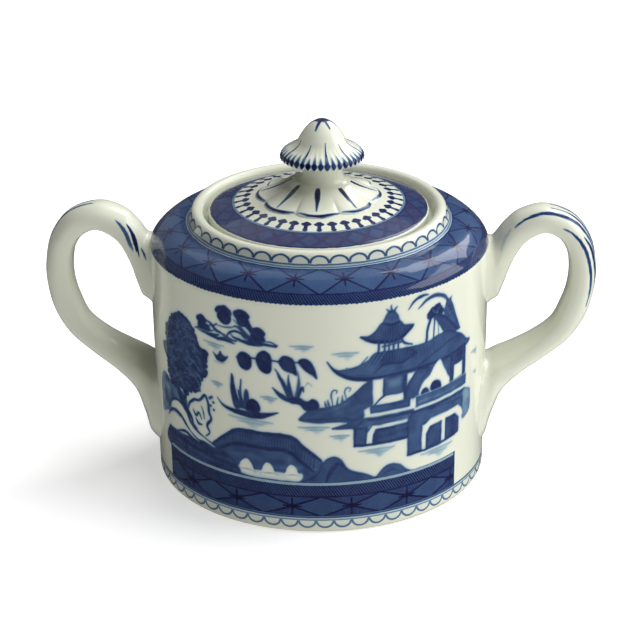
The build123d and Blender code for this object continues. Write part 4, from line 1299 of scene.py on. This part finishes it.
def lattice(u, v, wide, tall):
    """Ink of one lattice cell with a star in its middle; u and v run -0.5 to 0.5 across it."""
    au, av = u.abs(), v.abs()
    cross = (au - av).abs() * (wide * tall / math.hypot(wide, tall))
    diamond = (au - av).ease(-0.02, 0.03)
    ink = diamond * -0.05 + 0.68
    ink = ink.over(cross.ease(0.40, 0.08), 0.93)
    across, up = u * wide, v * tall
    near = ((across * across + up * up).root()).ease(2.9, 2.5)
    star = (across.abs().min(up.abs())).ease(0.34, 0.10) * near
    ink = ink.over(star, 0.98)
    hub = ((across * across + up * up).root()).ease(1.15, 0.5)
    ink = ink.over(hub, 0.96)
    # a short barb across each arm of the star
    d1 = (across + up * 1.9).abs().min((across - up * 1.9).abs())
    barb = d1.ease(0.34, 0.10) * ((across * across + up * up).root()).ease(2.0, 1.7)
    ink = ink.over(barb, 0.95)
    edge = av.ease(0.44, 0.49)
    return ink.over(edge, 0.94)


def hatch(turns, height, count, slant):
    """Close slanting lines between two heights, count of them right round."""
    wave = (turns * count + height * slant).fract()
    return ((wave - 0.5).abs()).ease(0.14, 0.36) * 0.24 + 0.70


def scallop_row(turns, height, count, tall, tone=0.62):
    """Half-round scallops standing on height 0 and reaching up to tall."""
    u = ((turns * count).fract() - 0.5) * 2.0
    v = height / tall
    ring = (u * u + v * v).root()
    line = ((ring - 0.95) * (tall * 0.9)).abs().ease(0.40, 0.12)
    inner = ring.ease(0.95, 0.85) * 0.045
    above = height.ease(-0.25, 0.1)
    return (inner.over(line, tone)) * above


def bowl_finish(marks):
    """The bowl's glaze. Its borders are drawn from "along", mm from the shoulder band's lower edge."""
    f = Finish("bowl_glaze")
    x, y, z = f.shaky(0.10)
    wobble = (f.noise(620.0, 1.0) - 0.5) * 0.30
    s = f.field("along") + wobble
    shown = f.field("shown")
    turns = y.math("ARCTAN2", x) * (1 / (2 * math.pi))
    # arc length from the middle of the nearer painted side
    fx, fy = math.cos(FACING), math.sin(FACING)
    ahead = x * fx + y * fy
    aside = x * (-fy) + y * fx
    side = ahead.sign()
    arc_mm = (aside * side).math("ARCTAN2", ahead * side) * ARC_R
    ink = f.field("cobalt")

    # shoulder: hatch, lattice, two light lines, and scallops up the collar
    hatch_top, band_in = marks["hatch_top"], marks["band_in"]
    wide, tall = 2 * math.pi * 45.0 / SHOULDER_CELLS, band_in - hatch_top
    u = (turns * SHOULDER_CELLS + 0.888).fract() - 0.5
    v = (s - hatch_top) / tall - 0.5
    band = lattice(u, v, wide, tall)
    low = hatch(turns, s, HATCHES, 0.80)
    band = band.over(s.ease(hatch_top + 0.15, hatch_top - 0.1), low)
    line_1 = (s - band_in - 0.35).abs().ease(0.26, 0.16)
    line_2 = (s - band_in - 1.15).abs().ease(0.30, 0.18)
    lines = line_1.max(line_2)
    band = band.over(s.ease(band_in - 0.25, band_in + 0.05), lines * 0.30 + 0.22)
    collar = s - band_in - 1.6
    scallops = scallop_row(turns, collar, COLLAR_SCALLOPS, 2.15)
    band = band.over(s.ease(band_in + 1.35, band_in + 1.6), scallops)
    serrate = ((turns * TEETH).fract() - 0.5).abs() * 0.4
    start = (s - serrate).ease(-0.35, 0.05)
    ink = ink.over(start, band)

    # lower border: only as wide as the print
    inside = (arc_mm - PRINT_LEFT).ease(-0.3, 0.3) * (arc_mm - PRINT_RIGHT).ease(0.3, -0.3)
    u = (turns * BORDER_CELLS + 0.40).fract() - 0.5
    v = (z - BORDER_LOW) / BORDER_TALL - 0.5
    border = lattice(u, v, 17.2, BORDER_TALL) + 0.06
    border = border.over(z.ease(12.0, 12.25), hatch(turns, z, HATCHES, 0.80))
    border = border.over(z.ease(15.45, 15.7), 0.30)
    border = border.over(z.ease(16.35, 16.6), 0.86)
    ends = (arc_mm - PRINT_LEFT).ease(0.9, 0.4).max((arc_mm - PRINT_RIGHT).ease(-0.9, -0.4))
    border = border.over(ends, 0.84)
    zone = z.ease(5.2, 5.5) * z.ease(16.75, 16.45)
    ink = ink.over(zone * inside, border)
    # foot: light lines and hanging scallops all the way round
    foot_line = ((z - 5.25).abs()).ease(0.42, 0.2) * 0.62
    foot_line = foot_line.max(((z - 4.35).abs()).ease(0.34, 0.16) * 0.42).max(0.18)
    ink = ink.over(z.ease(5.75, 5.5) * z.ease(4.0, 4.2), foot_line)
    hang = scallop_row(turns, z * -1.0 + 4.25, FOOT_SCALLOPS, 2.35, 0.52)
    ink = ink.over(z.ease(4.2, 4.0), hang)
    ink = ink * shown
    pooled = s.ease(-1.0, 1.5) * s.ease(band_in + 1.5, band_in - 1.0)
    wave = f.noise(62.0, 2.0, 0.5, stretch=(1.0, 1.0, 1.8)) * pooled * 0.9
    shader, body, rough = glaze(f, ink, wave=wave)
    # the standing ring is bare clay, and the inside floor has faint spoon marks
    tree = f.tree
    bare = z.ease(0.45, 0.1)
    body = f.blend(bare, body, (srgb(214), srgb(206), srgb(190), 1.0))
    scratch = f.noise(90.0, 5.0, 0.7, stretch=(1.0, 14.0, 1.0)).ease(0.60, 0.66)
    scratch = scratch * shown.flip() * z.ease(9.0, FLOOR_Z) * 0.12
    body = f.blend(scratch, body, (0.35, 0.35, 0.36, 1.0))
    tree.links.new(body, shader.inputs["Base Color"])
    rough = rough.over(bare, 0.75)
    tree.links.new(rough.socket, shader.inputs["Roughness"])
    return f.material


def lid_finish():
    """The disc's glaze, with its lattice and ring of buds drawn by radius."""
    f = Finish("lid_glaze")
    x, y, _ = f.shaky(0.08)
    wobble = (f.noise(640.0, 1.0) - 0.5) * 0.26
    r = f.field("radius") + wobble
    shown = f.field("shown")
    turns = y.math("ARCTAN2", x) * (1 / (2 * math.pi))
    outer, inner = 31.75, 25.5
    u = (turns * LID_CELLS).fract() - 0.5
    v = (r - inner) / (outer - inner) - 0.5
    au, av = u.abs(), v.abs()
    wide, tall = 2 * math.pi * 28.5 / LID_CELLS, outer - inner
    k = wide * tall / math.hypot(wide, tall)
    off = (au - av).abs() * k
    ink = (au - av).ease(-0.03, 0.03) * -0.03 + 0.75
    ink = ink.over((off - 0.28).abs().ease(0.34, 0.10), 0.86)
    second = (u - v).abs().min((u + v).abs()) * k
    ink = ink.over((second - 1.25).abs().ease(0.28, 0.08) * av.ease(0.05, 0.12), 0.73)
    ink = ink.over(av.ease(0.42, 0.48), 0.90)
    # light line inside the lattice, then a white ring with three-lobed buds on stems
    ink = ink.over(r.ease(25.45, 25.3), 0.44)
    ink = ink.over(r.ease(24.75, 24.6), 0.0)
    cell = turns * LID_BUDS + 0.5
    drift = (cell.math("FLOOR") * 12.9898).math("SINE") * 0.16
    arc_u = (cell.fract() - 0.5) * r * (2 * math.pi / LID_BUDS) + drift
    depth = r - 21.8 + drift * 0.8
    stem = arc_u.abs().ease(0.70, 0.42) * depth.ease(-1.3, -1.0) * depth.ease(2.7, 2.4)
    head = ((arc_u * arc_u * 0.34 + (depth + 0.35) * (depth + 0.35)).root()).ease(1.02, 0.70)
    tip = ((arc_u * arc_u * 0.7 + (depth + 0.95) * (depth + 0.95)).root()).ease(0.85, 0.55)
    foot = ((arc_u * arc_u * 0.8 + (depth - 2.3) * (depth - 2.3)).root()).ease(0.85, 0.55)
    bud = head.max(tip).max(stem).max(foot)
    ink = ink.over(bud, 0.90)
    ink = ink * shown * r.ease(31.95, 31.7)
    glaze(f, ink, violet_from=0.35, violet_share=r.ease(25.2, 25.6) * 0.75)
    return f.material


def plain_finish(name):
    """Glaze over the brush strokes of a piece that has no borders."""
    f = Finish(name)
    glaze(f, f.field("cobalt"))
    return f.material


# ---- studio ---------------------------------------------------------------------------------
CAMERA_AIM_Z = 0.417             # share of the object's height that the camera looks at
CAMERA_FAR = 746.6               # mm from the point that it looks at
CAMERA_LENS, CAMERA_SENSOR = 140.5, 36.0
CAMERA_UP = math.radians(24.03)
CAMERA_YAW = math.radians(2.0)
CAMERA_ROLL = math.radians(-0.6)


def build_camera():
    """The camera, as fitted to the outline in the photo."""
    data = bpy.data.cameras.new("camera")
    data.lens = CAMERA_LENS
    data.sensor_width = CAMERA_SENSOR
    camera = bpy.data.objects.new("camera", data)
    bpy.context.scene.collection.objects.link(camera)
    aim = Vector((0, 0, OBJECT_TOP * CAMERA_AIM_Z))
    level = math.cos(CAMERA_UP)
    away = Vector((math.sin(CAMERA_YAW) * level, -math.cos(CAMERA_YAW) * level, math.sin(CAMERA_UP)))
    camera.location = (aim + CAMERA_FAR * away) * MM
    turn = (-away).to_track_quat("-Z", "Y").to_matrix()
    camera.rotation_euler = (turn @ Matrix.Rotation(CAMERA_ROLL, 3, "Z")).to_euler()
    bpy.context.scene.camera = camera


def softbox(name, place, size, power, mirrored=True, lighting=True):
    """A rectangular light aimed at the object; places and sizes are in metres, power in watts."""
    data = bpy.data.lights.new(name, "AREA")
    data.shape = "RECTANGLE"
    data.size, data.size_y = size
    data.energy = power
    light = bpy.data.objects.new(name, data)
    bpy.context.scene.collection.objects.link(light)
    light.location = place
    light.visible_glossy = mirrored
    light.visible_diffuse = lighting
    aim = Vector((0, 0, 0.05)) - Vector(place)
    light.rotation_euler = aim.to_track_quat("-Z", "Y").to_euler()


def build_studio():
    """A white paper floor that no glaze mirrors, a dim even sky, and the lights."""
    mesh = bpy.data.meshes.new("floor")
    reach, across = 3.0, 13                     # metres to each side, and points along an edge
    line = np.linspace(-reach, reach, across)
    verts = [(a, b, 0.0) for b in line for a in line]
    corners = [j * across + i for j in range(across - 1) for i in range(across - 1)]
    faces = [(c, c + 1, c + across + 1, c + across) for c in corners]
    mesh.from_pydata(verts, [], faces)
    floor = bpy.data.objects.new("floor", mesh)
    bpy.context.scene.collection.objects.link(floor)
    material = bpy.data.materials.new("floor_paper")
    material.use_nodes = True
    shader = material.node_tree.nodes["Principled BSDF"]
    shader.inputs["Base Color"].default_value = (0.75, 0.75, 0.75, 1)
    shader.inputs["Roughness"].default_value = 0.9
    shader.inputs["Specular IOR Level"].default_value = 0.1
    shader.inputs["Emission Color"].default_value = (1, 1, 1, 1)
    shader.inputs["Emission Strength"].default_value = 0.48
    mesh.materials.append(material)
    floor.visible_glossy = False

    world = bpy.data.worlds.new("studio")
    bpy.context.scene.world = world
    world.use_nodes = True
    back = world.node_tree.nodes["Background"]
    back.inputs["Color"].default_value = (0.98, 0.99, 1.0, 1)
    back.inputs["Strength"].default_value = 0.06
    softbox("key", (1.02, 0.05, 0.64), (0.9, 0.6), 6.0)
    softbox("high", (0.56, 0.67, 0.82), (0.45, 0.75), 4.2)
    softbox("fill", (1.05, -0.88, 0.34), (1.2, 0.7), 6.2, False)
    softbox("top", (0.44, 0.15, 1.25), (1.2, 1.2), 19.0, False)
    # two large, weak panels that are only seen mirrored in the glaze and light nothing
    softbox("veil", (0.0, 0.82, 1.13), (1.5, 0.8), 2.0, True, False)
    softbox("side_veil", (-0.89, 0.69, 0.65), (1.9, 1.3), 1.2, True, False)
    bpy.context.scene.view_settings.view_transform = "Standard"
    bpy.context.scene.view_settings.look = "None"


# ---- putting it together ----------------------------------------------------------------------
build_camera()
build_studio()

bowl, marks = build_bowl()
bowl.data.materials.append(bowl_finish(marks))
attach(bowl, "bowl")
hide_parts("bowl_body")

handle_glaze = plain_finish("handle_glaze")
for side in ("left", "right"):
    handle = build_handle(side)
    handle.data.materials.append(handle_glaze)
    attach(handle, "bowl")
    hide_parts("handle_" + side)

disc = build_lid_disc()
disc.data.materials.append(lid_finish())
rosette = build_rosette()
rosette.data.materials.append(plain_finish("rosette_glaze"))
knob = build_knob()
knob.data.materials.append(plain_finish("knob_glaze"))
for piece, node, slot in ((disc, "lid_disc", "lid_porcelain"),
                          (rosette, "lid_rosette", "rosette_porcelain"),
                          (knob, "lid_knob", "knob_porcelain")):
    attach(piece, "lid")
    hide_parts(node)
